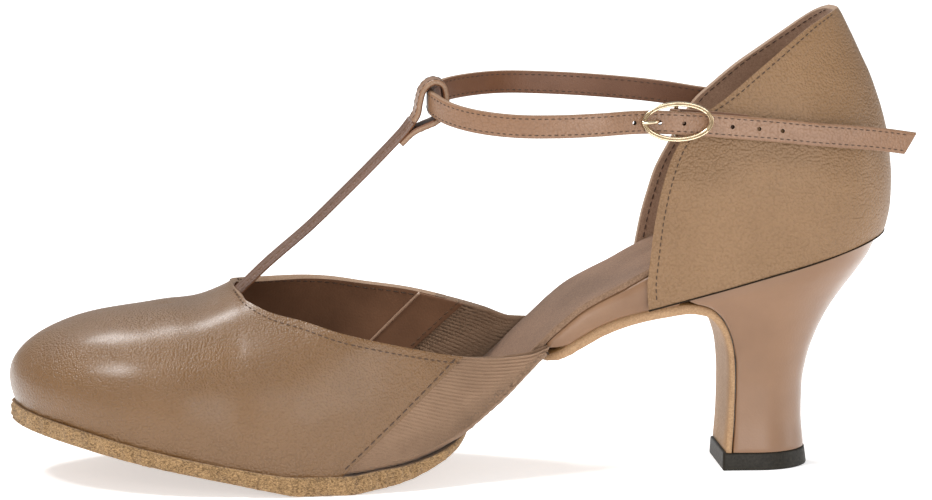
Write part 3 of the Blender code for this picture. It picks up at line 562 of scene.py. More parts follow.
def hand_out(tree: NodeTree, shape: Socket, finish: Socket) -> None:
    """End a geometry tree with real faces, smooth and in their finish.

    Args:
        tree: The tree's hand.
        shape: What the tree has made.
        finish: The material socket of its input.
    """
    solid = tree.add("GeometryNodeRealizeInstances", {"Geometry": shape})
    smooth = tree.add("GeometryNodeSetShadeSmooth", {"Geometry": solid.outputs[0]})
    dressed = tree.add("GeometryNodeSetMaterial", {"Geometry": smooth.outputs[0], "Material": finish})
    tree.link(dressed.outputs[0], tree.add("NodeGroupOutput").inputs[0])


def run_tree(piece: Piece, tree: bpy.types.NodeTree, values: dict[str, object]) -> None:
    """Run a geometry tree on a piece and keep what it makes as plain mesh.

    Args:
        piece: The piece that the tree is given.
        tree: The tree.
        values: Values of its inputs, by name.
    """
    run = piece.modifiers.new(tree.name, "NODES")
    run.node_group = tree
    for item in tree.interface.items_tree:
        if item.item_type == "SOCKET" and item.in_out == "INPUT" and item.name in values:
            run[item.identifier] = values[item.name]
    settle(piece)


class Effects:
    """Surface effects that several finishes share, each a node group built once."""

    def __init__(self) -> None:
        """Build the groups."""
        self.pebble = self._pebble()
        self.nap = self._nap()
        self.blotch = self._blotch()

    def _pebble(self) -> bpy.types.NodeTree:
        """Build the raised pebbles of tumbled leather.

        Returns:
            Group with Cell and Wander in and Height and Valley out.
        """
        tree, given, out = shader_group("Pebble", {"Cell": 1.1, "Wander": 0.15}, ("Height", "Valley"))
        place = tree.add("ShaderNodeTexCoord").outputs["Object"]
        scale = tree.math("DIVIDE", 1 / MM, given.outputs["Cell"])
        bend = tree.add("ShaderNodeTexNoise", {"Vector": place, "Scale": 400.0, "Detail": 2.0})
        shift = tree.add("ShaderNodeVectorMath", {0: bend.outputs["Color"], 1: (-0.5, -0.5, -0.5)},
                         operation="ADD")
        size = tree.math("MULTIPLY", given.outputs["Wander"], 2 * MM)
        moved = tree.add("ShaderNodeVectorMath", {0: shift.outputs[0], 3: size}, operation="SCALE")
        where = tree.add("ShaderNodeVectorMath", {0: place, 1: moved.outputs[0]}, operation="ADD")
        cells = tree.add("ShaderNodeTexVoronoi", {"Vector": where.outputs[0], "Scale": scale})
        away = tree.remap(cells.outputs["Distance"], 0.0, 0.85, 0.0, 1.0)
        round_dome = tree.math("SUBTRACT", 1.0, tree.math("POWER", away, 2.0))
        fine = tree.add("ShaderNodeTexNoise", {"Vector": place, "Scale": tree.math("MULTIPLY", scale, 2.6),
                                               "Detail": 3.0})
        height = tree.math("MULTIPLY_ADD", fine.outputs["Fac"], 0.2, round_dome)
        tree.link(height, out.inputs["Height"])
        tree.link(tree.math("SUBTRACT", 1.0, round_dome), out.inputs["Valley"])
        return tree.tree

    def _nap(self) -> bpy.types.NodeTree:
        """Build the short brushed fibres of suede and split leather.

        Returns:
            Group with Fibre and Stretch in and Height and Tone out.
        """
        tree, given, out = shader_group("Nap", {"Fibre": 0.5, "Stretch": 1.0}, ("Height", "Tone"))
        place = tree.add("ShaderNodeTexCoord").outputs["Object"]
        turn = tree.add("ShaderNodeCombineXYZ", {"X": 1.0, "Y": 1.0, "Z": given.outputs["Stretch"]})
        where = tree.add("ShaderNodeVectorMath", {0: place, 1: turn.outputs[0]}, operation="MULTIPLY")
        scale = tree.math("DIVIDE", 1 / MM, given.outputs["Fibre"])
        fibre = tree.add("ShaderNodeTexNoise", {"Vector": where.outputs[0], "Scale": scale, "Detail": 6.0,
                                                "Roughness": 0.7, "Distortion": 0.6})
        patch = tree.add("ShaderNodeTexNoise", {"Vector": place, "Scale": tree.math("MULTIPLY", scale, 0.12),
                                                "Detail": 2.0})
        tree.link(fibre.outputs["Fac"], out.inputs["Height"])
        slow = tree.math("MULTIPLY", patch.outputs["Fac"], 0.12)
        tree.link(tree.math("MULTIPLY_ADD", fibre.outputs["Fac"], 0.88, slow), out.inputs["Tone"])
        return tree.tree

    def _blotch(self) -> bpy.types.NodeTree:
        """Build the slow change of tone across a dyed hide.

        Returns:
            Group with Size in and Tone out.
        """
        tree, given, out = shader_group("Blotch", {"Size": 18.0}, ("Tone",))
        place = tree.add("ShaderNodeTexCoord").outputs["Object"]
        scale = tree.math("DIVIDE", 1 / MM, given.outputs["Size"])
        cloud = tree.add("ShaderNodeTexNoise", {"Vector": place, "Scale": scale, "Detail": 4.0,
                                                "Roughness": 0.55})
        tree.link(tree.remap(cloud.outputs["Fac"], 0.3, 0.7, 0.0, 1.0), out.inputs["Tone"])
        return tree.tree


@dataclass(frozen=True)
class Finish:
    """A surface: its colours, gloss and relief."""

    name: str
    light: Colour
    dark: Colour
    roughness: float
    grain: Grain
    size: float = 1.0
    relief: float = 0.1
    sheen: float = 0.0
    coat: float = 0.0
    metallic: float = 0.0
    specular: float = 0.5
    stretch: float = 1.0
    blotch: float = 18.0
    glow: float = 0.0
    coat_roughness: float = 0.22

    def build(self, effects: Effects) -> Material:
        """Make the material.

        Args:
            effects: The shared node groups.

        Returns:
            The material.
        """
        made = bpy.data.materials.new(self.name)
        made.use_nodes = True
        tree = NodeTree(made.node_tree)
        shader = made.node_tree.nodes["Principled BSDF"]
        plain = {"Metallic": self.metallic, "Sheen Weight": self.sheen, "Sheen Roughness": 0.5,
                 "Specular IOR Level": self.specular, "Coat Weight": self.coat,
                 "Coat Roughness": self.coat_roughness, "Emission Color": (*self.light, 1.0),
                 "Emission Strength": self.glow}
        for socket, value in plain.items():
            shader.inputs[socket].default_value = value
        height, tone = self._relief(tree, effects)
        tree.link(tree.mix(tone, self.light, self.dark), shader.inputs["Base Color"])
        rough = tree.remap(tone, 0.0, 1.0, self.roughness, min(1.0, self.roughness + 0.12))
        tree.link(rough, shader.inputs["Roughness"])
        bump = tree.add("ShaderNodeBump", {"Height": height, "Distance": self.relief * MM, "Strength": 1.0})
        tree.link(bump.outputs["Normal"], shader.inputs["Normal"])
        return made

    def _relief(self, tree: NodeTree, effects: Effects) -> tuple[Socket, Socket]:
        """Add the grain.

        Args:
            tree: The material's tree.
            effects: The shared node groups.

        Returns:
            The sockets of the relief's height and of the darker colour's share.
        """
        if self.grain is Grain.NAP:
            nap = tree.add("ShaderNodeGroup", {"Fibre": self.size, "Stretch": self.stretch},
                           node_tree=effects.nap)
            return nap.outputs["Height"], tree.remap(nap.outputs["Tone"], 0.38, 0.62, 0.0, 1.0)
        cloud = tree.add("ShaderNodeGroup", {"Size": self.blotch}, node_tree=effects.blotch)
        tone = cloud.outputs["Tone"]
        if self.grain is Grain.PLAIN:
            return tree.math("MULTIPLY", tone, 0.1), tone
        pebble = tree.add("ShaderNodeGroup", {"Cell": self.size}, node_tree=effects.pebble)
        if self.grain is Grain.PEBBLE:
            half = tree.math("MULTIPLY", tone, 0.5)
            tone = tree.math("MULTIPLY_ADD", pebble.outputs["Valley"], 0.5, half)
        return pebble.outputs["Height"], tone


class Stitching:
    """Rows of thread laid by a Geometry Nodes tree along a seam."""

    def __init__(self, finishes: Finishes) -> None:
        """Build the tree once: a pill of thread at even steps of the seam, turned along it.

        Args:
            finishes: The materials, the threads' among them.
        """
        self.finishes = finishes
        tree = geometry_group("Stitch run", "Seam", ("Pitch", "Length", "Width"), "Thread")
        given = tree.add("NodeGroupInput").outputs
        line = tree.add("GeometryNodeMeshToCurve", {"Mesh": given["Seam"]})
        places = tree.add("GeometryNodeResampleCurve", {"Curve": line.outputs[0], "Length": given["Pitch"]},
                          mode="LENGTH")
        pill = tree.add("GeometryNodeMeshUVSphere", {"Segments": 6, "Rings": 6, "Radius": 0.5})
        size = tree.add("ShaderNodeCombineXYZ", {0: given["Length"], 1: given["Width"], 2: given["Width"]})
        shaped = tree.add("GeometryNodeTransform", {"Geometry": pill.outputs[0], "Scale": size.outputs[0]})
        along = tree.add("GeometryNodeInputTangent")
        turn = tree.add("FunctionNodeAlignRotationToVector", {"Vector": along.outputs[0]}, axis="X")
        laid = tree.add("GeometryNodeInstanceOnPoints", {"Points": places.outputs[0],
                                                         "Instance": shaped.outputs[0],
                                                         "Rotation": turn.outputs[0]})
        hand_out(tree, laid.outputs[0], given["Thread"])
        self.tree = tree.tree

    def sew(self, name: str, seams: Sequence[Sequence[Point]], stitch: Stitch, slot: str) -> None:
        """Lay stitches along seams.

        Args:
            name: Name of the piece.
            seams: Lines of points, each on the face that it is sewn to.
            stitch: Kind of the stitches.
            slot: Name of a material slot, passed on to finish_piece.
        """
        points: list[Point] = []
        edges: list[tuple[int, int]] = []
        for seam in seams:
            start = len(points)
            points += list(seam)
            edges += [(start + k, start + k + 1) for k in range(len(seam) - 1)]
        thread, pitch, length, width = stitch.value
        mesh = bpy.data.meshes.new(name)
        mesh.from_pydata([Vector(point) * MM for point in points], edges, [])
        mesh.materials.append(self.finishes[thread])
        piece = bpy.data.objects.new(name, mesh)
        bpy.context.scene.collection.objects.link(piece)
        run_tree(piece, self.tree, {"Pitch": pitch * MM, "Length": length * MM, "Width": width * MM,
                                    "Thread": self.finishes[thread]})
        finish_piece(piece, slot)


class Webbing:
    """Ribs of woven elastic, raised by a Geometry Nodes tree."""

    def __init__(self) -> None:
        """Build the tree once: a wave across the panel, along its normals."""
        tree = geometry_group("Ribbed elastic", "Panel", ("Pitch", "Height"), "Cloth")
        given = tree.add("NodeGroupInput").outputs
        across = tree.add("GeometryNodeInputNamedAttribute", {"Name": "across"}, data_type="FLOAT")
        turns = tree.math("DIVIDE", across.outputs[0], given["Pitch"])
        wave = tree.math("SINE", tree.math("MULTIPLY", turns, 2 * math.pi))
        lift = tree.math("MULTIPLY", wave, given["Height"])
        normal = tree.add("GeometryNodeInputNormal")
        shift = tree.add("ShaderNodeVectorMath", {0: normal.outputs[0], 3: lift}, operation="SCALE")
        moved = tree.add("GeometryNodeSetPosition", {"Geometry": given["Panel"], "Offset": shift.outputs[0]})
        hand_out(tree, moved.outputs[0], given["Cloth"])
        self.tree = tree.tree

    def weave(self, piece: Piece, cloth: Material, pitch: float, height: float) -> None:
        """Raise a panel's ribs, height being half their depth; its mark across is in millimetres."""
        run_tree(piece, self.tree, {"Pitch": pitch, "Height": height * MM, "Cloth": cloth})


def finish_piece(piece: Piece, slot: str, *nodes: str) -> None:
    """Tie a finished piece to the frame and report it.

    Args:
        piece: The finished piece.
        slot: Name of a material slot; not used.
        nodes: CAD nodes that the piece stands for.
    """
    if piece.modifiers:
        settle(piece)
    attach(piece, ROOT)
    if nodes:
        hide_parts(*nodes)
    LOG.info("%s: %d faces", piece.name, len(piece.data.polygons))


@dataclass(frozen=True)
class Crease:
    """A soft trough or ridge that wear has left in the upper."""

    start: tuple[float, float, float]
    end: tuple[float, float, float]
    depth: float
    width: float

    def lift_at(self, point: Vector) -> float:
        """Find how far the crease moves the leather.

        Args:
            point: Place on the outer face.

        Returns:
            Distance along the normal, less than zero in a trough.
        """
        a, b = Vector(self.start), Vector(self.end)
        run = b - a
        share = min(1.0, max(0.0, (point - a).dot(run) / run.length_squared))
        gap = (point - a - run * share).length
        ends = math.sin(math.pi * min(1.0, max(0.0, share * 0.8 + 0.1)))
        return self.depth * ends * math.exp(-(gap / self.width) ** 2)


@dataclass
class Last:
    """The foot form that the upper is drawn over."""

    ball_width: float = 79.5
    arc_steps: int = 400
    nose_x: float = -146.0
    tip_x: float = -202.2
    sole_tip_x: float = -203.2
    sole_end_x: float = -80.7
    rear_round: float = 12.0
    rear_taper: float = 0.55
    power: float = 2.4
    fan_x: float = -162.0
    toe_bulge: float = 3.3
    side_bulge: float = 1.6
    throat_x: float = -144.3
    seam_bottom_x: float = -117.0
    seam_top_x: float = -84.0
    gap: float = 0.3
    elastic: float = 1.2
    sling_free: float = 6.0
    sling_rise: float = 0.4
    lean_width: float = 20.0
    seam_x: float = -22.5
    seam_z: float = 48.6
    seam_slope: float = 0.285
    back_height: float = 124.4
    quarter_depth: float = 27.0
    quarter_power: float = 2.2
    quarter_back_x: float = 34.8
    quarter_steps: int = 120
    search_passes: int = 6
    leather: float = 1.6
    sock_gap: float = 0.1
    sock_reach: float = 0.5

    def nose(self, x: float, tip: float) -> float:
        """Share of the half width that the toe's round outline has at x."""
        u = min(1.0, max(0.0, (self.nose_x - x) / (self.nose_x - tip)))
        return math.sqrt(1 - u * u)

    def width(self, x: float, side: Side, inset: float = 0.0) -> float:
        """Half width of the upper at the sole.

        Args:
            x: Place along the foot.
            side: Side of the foot.
            inset: How far inside the outer face.

        Returns:
            Distance from the middle plane.
        """
        half = LAST.at(x, side.column) - inset
        if x < self.nose_x:
            half *= self.nose(x, self.tip_x + inset)
        return half

    def sole_width(self, x: float, side: Side) -> float:
        """Half width of the forepart sole at a place along the foot."""
        if x < self.nose_x:
            return SOLE.at(self.nose_x, side.column) * self.ball_width / 2 * self.nose(x, self.sole_tip_x)
        half = SOLE.at(x, side.column) * self.ball_width / 2
        rear = max(0.0, (x - self.sole_end_x + self.rear_round) / self.rear_round)
        return half * (1 - self.rear_taper * rear ** 4)

    def sole_top(self, x: float) -> float:
        """Height of the forepart sole's upper face."""
        return SOLE.at(x, "bottom") + SOLE.at(x, "thick")

    def insole_slope(self, x: float) -> float:
        """Rise of the insole along the foot."""
        return (INSOLE.at(x + 1, "bottom") - INSOLE.at(x - 1, "bottom")) / 2

    def insole_bottom(self, x: float, y: float) -> float:
        """Height of the insole's underside."""
        return INSOLE.at(x, "bottom") + INSOLE.at(x, "lean") * y / self.lean_width

    def sling_bottom(self, x: float) -> float:
        """Height of the elastic's underside, on the sole in front and below the insole behind."""
        rest = self.sole_top(x) + self.gap
        drop = (self.elastic + self.gap) * math.hypot(1, self.insole_slope(x))
        drop += INSOLE.at(x, "lean") * self.width(x, Side.LATERAL) / self.lean_width
        below = INSOLE.at(x, "bottom") - drop - self.gap
        if x < self.sole_end_x - self.sling_free:
            return max(rest, min(below, rest + self.sling_rise))
        return below

    def feather(self, x: float) -> float:
        """Height of the lower edge of the upper's outer face."""
        if x < self.seam_bottom_x:
            return self.sole_top(x)
        return self.sling_bottom(x)

    def side_point(self, x: float, z: float, side: Side) -> Vector:
        """Find a point of the outer face behind the nose.

        Args:
            x: Place along the foot.
            z: Height.
            side: Side of the foot.

        Returns:
            The point.
        """
        low = self.feather(x)
        share = min(1.0, max(0.0, (z - low) / (RIDGE.at(x, "z") - low)))
        y = self.width(x, side) * (1 - share ** self.power) ** (1 / self.power)
        y += self.side_bulge * math.sin(math.pi * share)
        return Vector((x, side.value * y, z))

    def toe_point(self, x: float, angle: float, side: Side) -> Vector:
        """Find a point of the toe cap on the arc from the sole up and back to the ridge.

        Args:
            x: Place where the arc starts at the sole.
            angle: Turn up the arc, a quarter turn at the ridge.
            side: Side of the foot.

        Returns:
            The point.
        """
        foot_y = self.width(x, side)
        along = (x - self.tip_x) / (self.nose_x - self.tip_x)
        ridge_x = self.fan_x + (self.nose_x - self.fan_x) * along ** 2
        rise = math.sin(angle) ** (2 / self.power)
        run = 1 - max(0.0, math.cos(angle)) ** (2 / self.power)
        low = self.feather(x)
        z = low + (RIDGE.at(ridge_x, "z") - low) * rise
        bulge = (self.toe_bulge + (self.side_bulge - self.toe_bulge) * along ** 2) * math.sin(math.pi * rise)
        reach = Vector((x - ridge_x, foot_y))
        out = reach * (1 - run) + reach.normalized() * bulge
        return Vector((ridge_x + out.x, side.value * out.y, z))

    def nose_stations(self, tip: float, count: int) -> list[float]:
        """Places along X at even steps round the toe's outline.

        Args:
            tip: Place of the toe's tip.
            count: How many places, the tip and the nose included.

        Returns:
            The places from the tip to the nose.
        """
        half = LAST.at(self.nose_x, "lateral")
        turns = [math.pi / 2 * k / self.arc_steps for k in range(self.arc_steps + 1)]
        line = [(self.nose_x - (self.nose_x - tip) * math.cos(turn), half * math.sin(turn), 0.0)
                for turn in turns]
        return [point.x for point in spread(line, count)]

    def upper_column(self, x_low: float, x_top: float, side: Side, rows: int) -> list[Vector]:
        """Points of the upper from the sole to the ridge or the topline.

        Args:
            x_low: Place of the column's foot.
            x_top: Place of its head.
            side: Side of the foot.
            rows: Steps up the column.

        Returns:
            The points from below.
        """
        top = RIDGE.at(x_top, "z") if x_top <= self.throat_x else TOPLINE.at(x_top, side.column)
        low = self.feather(x_low)
        share = (top - low) / (RIDGE.at(x_top, "z") - low)
        end = math.asin(min(1.0, share) ** (self.power / 2))
        points = []
        for i in range(rows + 1):
            rise = math.sin(end * i / rows) ** (2 / self.power) / share
            points.append(self.side_point(x_low + (x_top - x_low) * rise, low + (top - low) * rise, side))
        return points

    def seam_height(self, x: float) -> float:
        """Height of the seam between heel and quarter."""
        return self.seam_z + self.seam_slope * (x - self.seam_x)

    def quarter_row(self, rise: float, side: Side) -> list[Vector]:
        """One row of the heel cup, level at the top and along the seam below.

        Args:
            rise: Share of the height, from 0 at the seam to 1 at the top.
            side: Side of the foot.

        Returns:
            Points from the back to the front edge.
        """
        line = []
        for k in range(self.quarter_steps + 1):
            t = k / self.quarter_steps
            x = self.quarter_back_x
            for _ in range(self.search_passes):
                low = self.seam_height(x)
                z = low + (self.back_height - low) * rise
                back = QUARTER.at(z, "back_x")
                x = back - (back - QUARTER.at(z, side.column)) * t * t * (2 - t)
            u = max(0.0, (x - back + self.quarter_depth) / self.quarter_depth)
            y = LAST.at(x, side.column) * QUARTER.at(z, "share")
            y *= max(0.0, 1 - u ** self.quarter_power) ** (1 / self.quarter_power)
            line.append(Vector((x, side.value * y, z)))
        return line

    def quarter_inner(self, x: float, side: Side) -> float:
        """Half width inside the heel cup at the height of the insole."""
        wall = self.leather + self.sock_gap
        back = QUARTER.at(self.insole_bottom(x, 0.0), "back_x") - wall
        u = min(1.0, max(0.0, (x - back + self.quarter_depth) / self.quarter_depth))
        half = LAST.at(x, side.column) - wall
        return half * (1 - u ** self.quarter_power) ** (1 / self.quarter_power)

    def insole_width(self, x: float, side: Side) -> float:
        """Half width of the insole inside the upper's walls."""
        if x > self.seam_x:
            return self.quarter_inner(x, side)
        return self.width(x, side, INSOLE.at(x, "inset") - self.sock_reach)

    def strip_top(self, x: float) -> float:
        """Height of the arch strip's upper face in front of the heel."""
        rows = [(row[1], row[2]) for row in STRIP.rows if row[1] <= self.seam_x]
        return Table("x z", *rows).at(x, "z")


def skin(name: str, grid: Grid, finishes: Sequence[Material],
         marks: dict[str, list[list[float]]] | None = None) -> Piece:
    """Make an open skin from a grid of points, its faces turned away from its middle.

    Args:
        name: Name of the piece.
        grid: Rows of points.
        finishes: Materials of the outer face, the inner face and the cut edge.
        marks: Named values in rows like the grid's.

    Returns:
        The skin, one face thick.
    """
    index: dict[tuple[float, ...], int] = {}
    points: list[Vector] = []
    values: dict[str, list[float]] = {key: [] for key in marks or {}}
    label: list[list[int]] = []
    for i, row in enumerate(grid):
        numbers = []
        for j, point in enumerate(row):
            key = tuple(round(value, 3) for value in point)
            if key not in index:
                index[key] = len(points)
                points.append(point)
                for mark in values:
                    values[mark].append(marks[mark][i][j])
            numbers.append(index[key])
        label.append(numbers)
    faces = []
    for upper, lower in zip(label, label[1:]):
        for j in range(len(upper) - 1):
            face = tuple(dict.fromkeys((upper[j], upper[j + 1], lower[j + 1], lower[j])))
            if len(face) > 2:
                faces.append(face)
    piece = build_mesh(name, points, faces, finishes, marks=values)
    shape = bmesh.new()
    shape.from_mesh(piece.data)
    bmesh.ops.recalc_face_normals(shape, faces=shape.faces)
    middle = sum((vertex.co for vertex in shape.verts), Vector()) / len(shape.verts)
    facing = sum(face.calc_area() * face.normal.dot(face.calc_center_median() - middle)
                 for face in shape.faces)
    if facing < 0:
        bmesh.ops.reverse_faces(shape, faces=shape.faces)
    shape.to_mesh(piece.data)
    shape.free()
    return piece


def thicken(piece: Piece, thickness: float, rounding: float) -> None:
    """Give a skin its wall, inwards, with its inner face and cut edge in their own finishes.

    Args:
        piece: The skin.
        thickness: Thickness of the wall.
        rounding: Width of the eased edge.
    """
    step = piece.modifiers.new("Wall", "SOLIDIFY")
    step.thickness = thickness * MM
    step.offset = -1.0
    step.use_rim = True
    step.material_offset = 1
    step.material_offset_rim = 2
    if rounding:
        bevel(piece, rounding, 55.0)
    settle(piece)


def relax(piece: Piece, weight: Callable[[Vector], float], passes: int) -> None:
    """Smooth part of a skin, its border held.

    Args:
        piece: The skin.
        weight: Share of the smoothing at a place in millimetres.
        passes: How often to smooth.
    """
    shape = bmesh.new()
    shape.from_mesh(piece.data)
    inner = [(vertex, weight(vertex.co / MM)) for vertex in shape.verts if not vertex.is_boundary]
    inner = [(vertex, share) for vertex, share in inner if share > 0]
    for _ in range(passes):
        moved = []
        for vertex, share in inner:
            near = [edge.other_vert(vertex).co for edge in vertex.link_edges]
            moved.append(vertex.co.lerp(sum(near, Vector()) / len(near), 0.6 * share))
        for (vertex, _), place in zip(inner, moved):
            vertex.co = place
    shape.to_mesh(piece.data)
    shape.free()


def emboss(piece: Piece, lift: Callable[[Vector], float]) -> None:
    """Move a skin's points along their normals.

    Args:
        piece: The skin.
        lift: Distance in millimetres at a place in millimetres.
    """
    mesh = piece.data
    normals = [vertex.normal.copy() for vertex in mesh.vertices]
    for vertex, normal in zip(mesh.vertices, normals):
        vertex.co += normal * lift(vertex.co / MM) * MM
    mesh.update()


def lay_on(piece: Piece, points: Sequence[Point]) -> list[Vector]:
    """Bring the points of a seam onto the nearest face of a piece.

    Args:
        piece: The piece to lie on.
        points: Places near its face.

    Returns:
        The places on the face.
    """
    out = []
    for point in points:
        found, where, normal, _ = piece.closest_point_on_mesh(Vector(point) * MM)
        out.append(where / MM + normal * THREAD_LIFT if found else Vector(point))
    return out


def unevenness(size: float, depth: float) -> Callable[[Vector], float]:
    """Make the slow unevenness that a lasted hide keeps.

    Args:
        size: Width of a swell.
        depth: Its height.

    Returns:
        Height at a place.
    """
    def height(point: Vector) -> float:
        """Height of the swell at a place in millimetres."""
        return depth * noise.noise(point / size)

    return height


def along_row(row: Sequence[Vector], distance: float) -> Vector:
    """Find the point that lies a distance from the end of a row of points.

    Args:
        row: The points.
        distance: Distance back from the last one.

    Returns:
        The point.
    """
    left = distance
    for a, b in zip(reversed(row), list(reversed(row))[1:]):
        step = (b - a).length
        if step >= left:
            return a.lerp(b, left / max(step, 1e-9))
        left -= step
    return row[0]


@dataclass
class Upper:
    """The vamp, the elastic gores and the heel cup, with their linings, cut edges and seams."""

    last: Last
    finishes: Finishes
    stitching: Stitching
    webbing: Webbing
    rows: int = 40
    toe_columns: int = 56
    side_columns: int = 72
    side_crowding: float = 1.35
    blend_offset: float = -1.0
    blend_width: float = 13.0
    blend_passes: int = 40
    swell: tuple[float, float] = (13.0, 0.22)
    eased_edge: float = 0.5
    stitch_inset: float = 2.4
    seam_inset: float = 1.7
    lap: float = 2.6
    gore_inset: float = 0.5
    gore_low_x: float = -61.0
    gore_top_x: float = -60.4
    gore_rows: int = 120
    gore_across: int = 120
    gore_columns: int = 72
    gore_turn: float = 3.0
    gore_turn_front: float = 0.6
    gore_turn_growth: float = 1.6
    gore_turn_share: float = 0.45
    gore_turn_steps: int = 8
    rib_pitch: float = 1.1
    rib_height: float = 0.2
    facing_front: float = -6.5
    facing_back: float = 5.5
    facing_depth: float = 1.72
    facing_lean: float = 3.5
    facing_steps: int = 8
    facing_thick: float = 0.45
    facing_edge: float = 0.15
    facing_seam_depth: float = 1.2
    cord_radius: float = 0.42
    cord_depth: float = 0.4
    quarter_rows: int = 64
    quarter_columns: int = 64
    quarter_crowding: float = 1.25
    quarter_seam: tuple[float, float] = (0.02, 0.985)
    quarter_swell: tuple[float, float] = (15.0, 0.16)
    # Radius of the near-black wire that paints a shadow line along the heel cup's foot.
    shadow_line_radius: float = 0.24
    lining_depth: float = 0.8
    creases: tuple[Crease, ...] = (
        Crease((-134.0, -39.0, 12.0), (-141.0, -27.0, 42.0), -0.55, 5.5),
        Crease((-126.0, -38.0, 12.0), (-132.0, -28.0, 38.0), 0.35, 5.0),
        Crease((-118.0, -37.0, 12.0), (-124.0, -30.0, 34.0), -0.3, 4.5),
        Crease((-134.0, 38.0, 12.0), (-141.0, 27.0, 42.0), -0.55, 5.5),
        Crease((-126.0, 36.0, 12.0), (-132.0, 27.0, 38.0), 0.35, 5.0),
        Crease((-152.0, -16.0, 45.0), (-152.0, 16.0, 45.0), -0.45, 5.0),
        Crease((-160.0, -24.0, 41.0), (-161.0, 20.0, 43.0), 0.3, 5.0),
        Crease((-188.0, -20.0, 26.0), (-170.0, -33.0, 22.0), -0.25, 6.0),
    )

    def build(self) -> None:
        """Build every piece of the upper."""
        self._vamp()
        self._gore()
        self._facings()
        self._quarter()

    def _walls(self) -> list[Material]:
        """Finishes of a leather wall: face, lining and cut edge, whose pale colour is partly painted
        highlight.
        """
        return [self.finishes["pebbled"], self.finishes["lining"], self.finishes["cut_edge_and_highlight"]]

    def _vamp(self) -> None:
        """Draw the closed toe and the sides up to the elastic, and stitch their edges."""
        last = self.last
        toe = last.nose_stations(last.tip_x, self.toe_columns)
        turns = [math.pi / 2 * i / self.rows for i in range(self.rows + 1)]
        halves: dict[Side, Grid] = {}
        seams: dict[Side, list[Vector]] = {side: [] for side in Side}
        joins: list[list[Vector]] = []
        for side in Side:
            halves[side] = [[last.toe_point(x, turn, side) for turn in turns] for x in toe]
            for k in range(self.side_columns + 1):
                share = (k / self.side_columns) ** self.side_crowding
                x_top = last.throat_x + share * (last.seam_top_x - last.throat_x)
                x_low = last.throat_x + share * (last.seam_bottom_x - last.throat_x)
                column = last.upper_column(x_low, x_top, side, self.rows)
                halves[side].append(column)
                if k > 1:
                    seams[side].append(along_row(column, self.stitch_inset))
            joins.append(last.upper_column(last.seam_bottom_x - self.seam_inset,
                                           last.seam_top_x - self.seam_inset, side, self.rows)[2:-2])
        vamp = skin("vamp_leather", join_halves(*halves.values()), self._walls())
        blend_x = last.nose_x + self.blend_offset
        relax(vamp, lambda point: max(0.0, 1 - abs(point.x - blend_x) / self.blend_width), self.blend_passes)
        swell = unevenness(*self.swell)
        emboss(vamp, lambda point: swell(point) + sum(crease.lift_at(point) for crease in self.creases))
        thicken(vamp, last.leather, self.eased_edge)
        finish_piece(vamp, "pebbled_leather", "vamp")
        self._sew_edge("vamp_topline_stitches", "vamp_lining_stitches", vamp, seams)
        self.stitching.sew("vamp_seam_stitches", [lay_on(vamp, join) for join in joins], Stitch.SEAM,
                           "pebbled_leather")

    def _gore_column(self, t: float) -> tuple[list[Vector], list[float]]:
        """One line of the elastic, from the outer topline under the foot to the inner topline.

        Args:
            t: Share of the way from the vamp to the arch.

        Returns:
            The points, and for each the distance from the nearer topline.
        """
        last = self.last
        start_low, start_top = last.seam_bottom_x - self.lap, last.seam_top_x - self.lap
        x_low = start_low + (self.gore_low_x - start_low) * t
        x_top = start_top + (self.gore_top_x - start_top) * t
        low = last.sling_bottom(x_low)
        tops = {side: TOPLINE.at(x_top, side.column) for side in Side}
        growth = min(1.0, self.gore_turn_growth * t)
        radius = min(self.gore_turn_front + (self.gore_turn - self.gore_turn_front) * growth,
                     self.gore_turn_share * (min(tops.values()) - low))
        halves = []
        for side, top in tops.items():
            wall = []
            for i in range(self.gore_rows + 1):
                z = low + radius + (top - low - radius) * i / self.gore_rows
                x = x_low + (x_top - x_low) * (z - low) / (top - low)
                point = last.side_point(x, z, side)
                point.y -= side.value * self.gore_inset
                wall.append(point)
            halves.append(wall)
        outer, inner = halves
        near_y = outer[0].y + radius
        far_y = inner[0].y - radius
        under = [Vector((x_low, near_y + (far_y - near_y) * k / self.gore_across, low))
                 for k in range(self.gore_across + 1)]
        outer_turn = self._quarter_turn(outer[0], radius, low, Side.LATERAL, x_low)
        inner_turn = self._quarter_turn(inner[0], radius, low, Side.MEDIAL, x_low)
        line = [*reversed(outer), *outer_turn, *under, *reversed(inner_turn), *inner]
        run = [0.0]
        for a, b in zip(line, line[1:]):
            run.append(run[-1] + (b - a).length)
        return line, [min(reach, run[-1] - reach) for reach in run]

    def _quarter_turn(self, foot: Vector, radius: float, low: float, side: Side,
                      x_low: float) -> list[Vector]:
        """Points of the elastic's turn between the wall's foot and the underside at a height."""
        turns = [math.pi / 2 * k / self.gore_turn_steps for k in range(1, self.gore_turn_steps)]
        return [Vector((x_low, foot.y - side.value * radius * (1 - math.cos(turn)),
                        low + radius * (1 - math.sin(turn)))) for turn in turns]

    def _gore(self) -> None:
        """Weave both elastic panels and the band under the arch that joins them."""
        columns = [self._gore_column(k / self.gore_columns) for k in range(self.gore_columns + 1)]
        grid, runs = ([column[part] for column in columns] for part in (0, 1))
        cloth = self.finishes["elastic"]
        gore = skin("elastic_gores", grid, [cloth] * 3, {"across": runs})
        self.webbing.weave(gore, cloth, self.rib_pitch, self.rib_height)
        thicken(gore, self.last.elastic, 0.0)
        finish_piece(gore, "elastic", "elastic_gore")

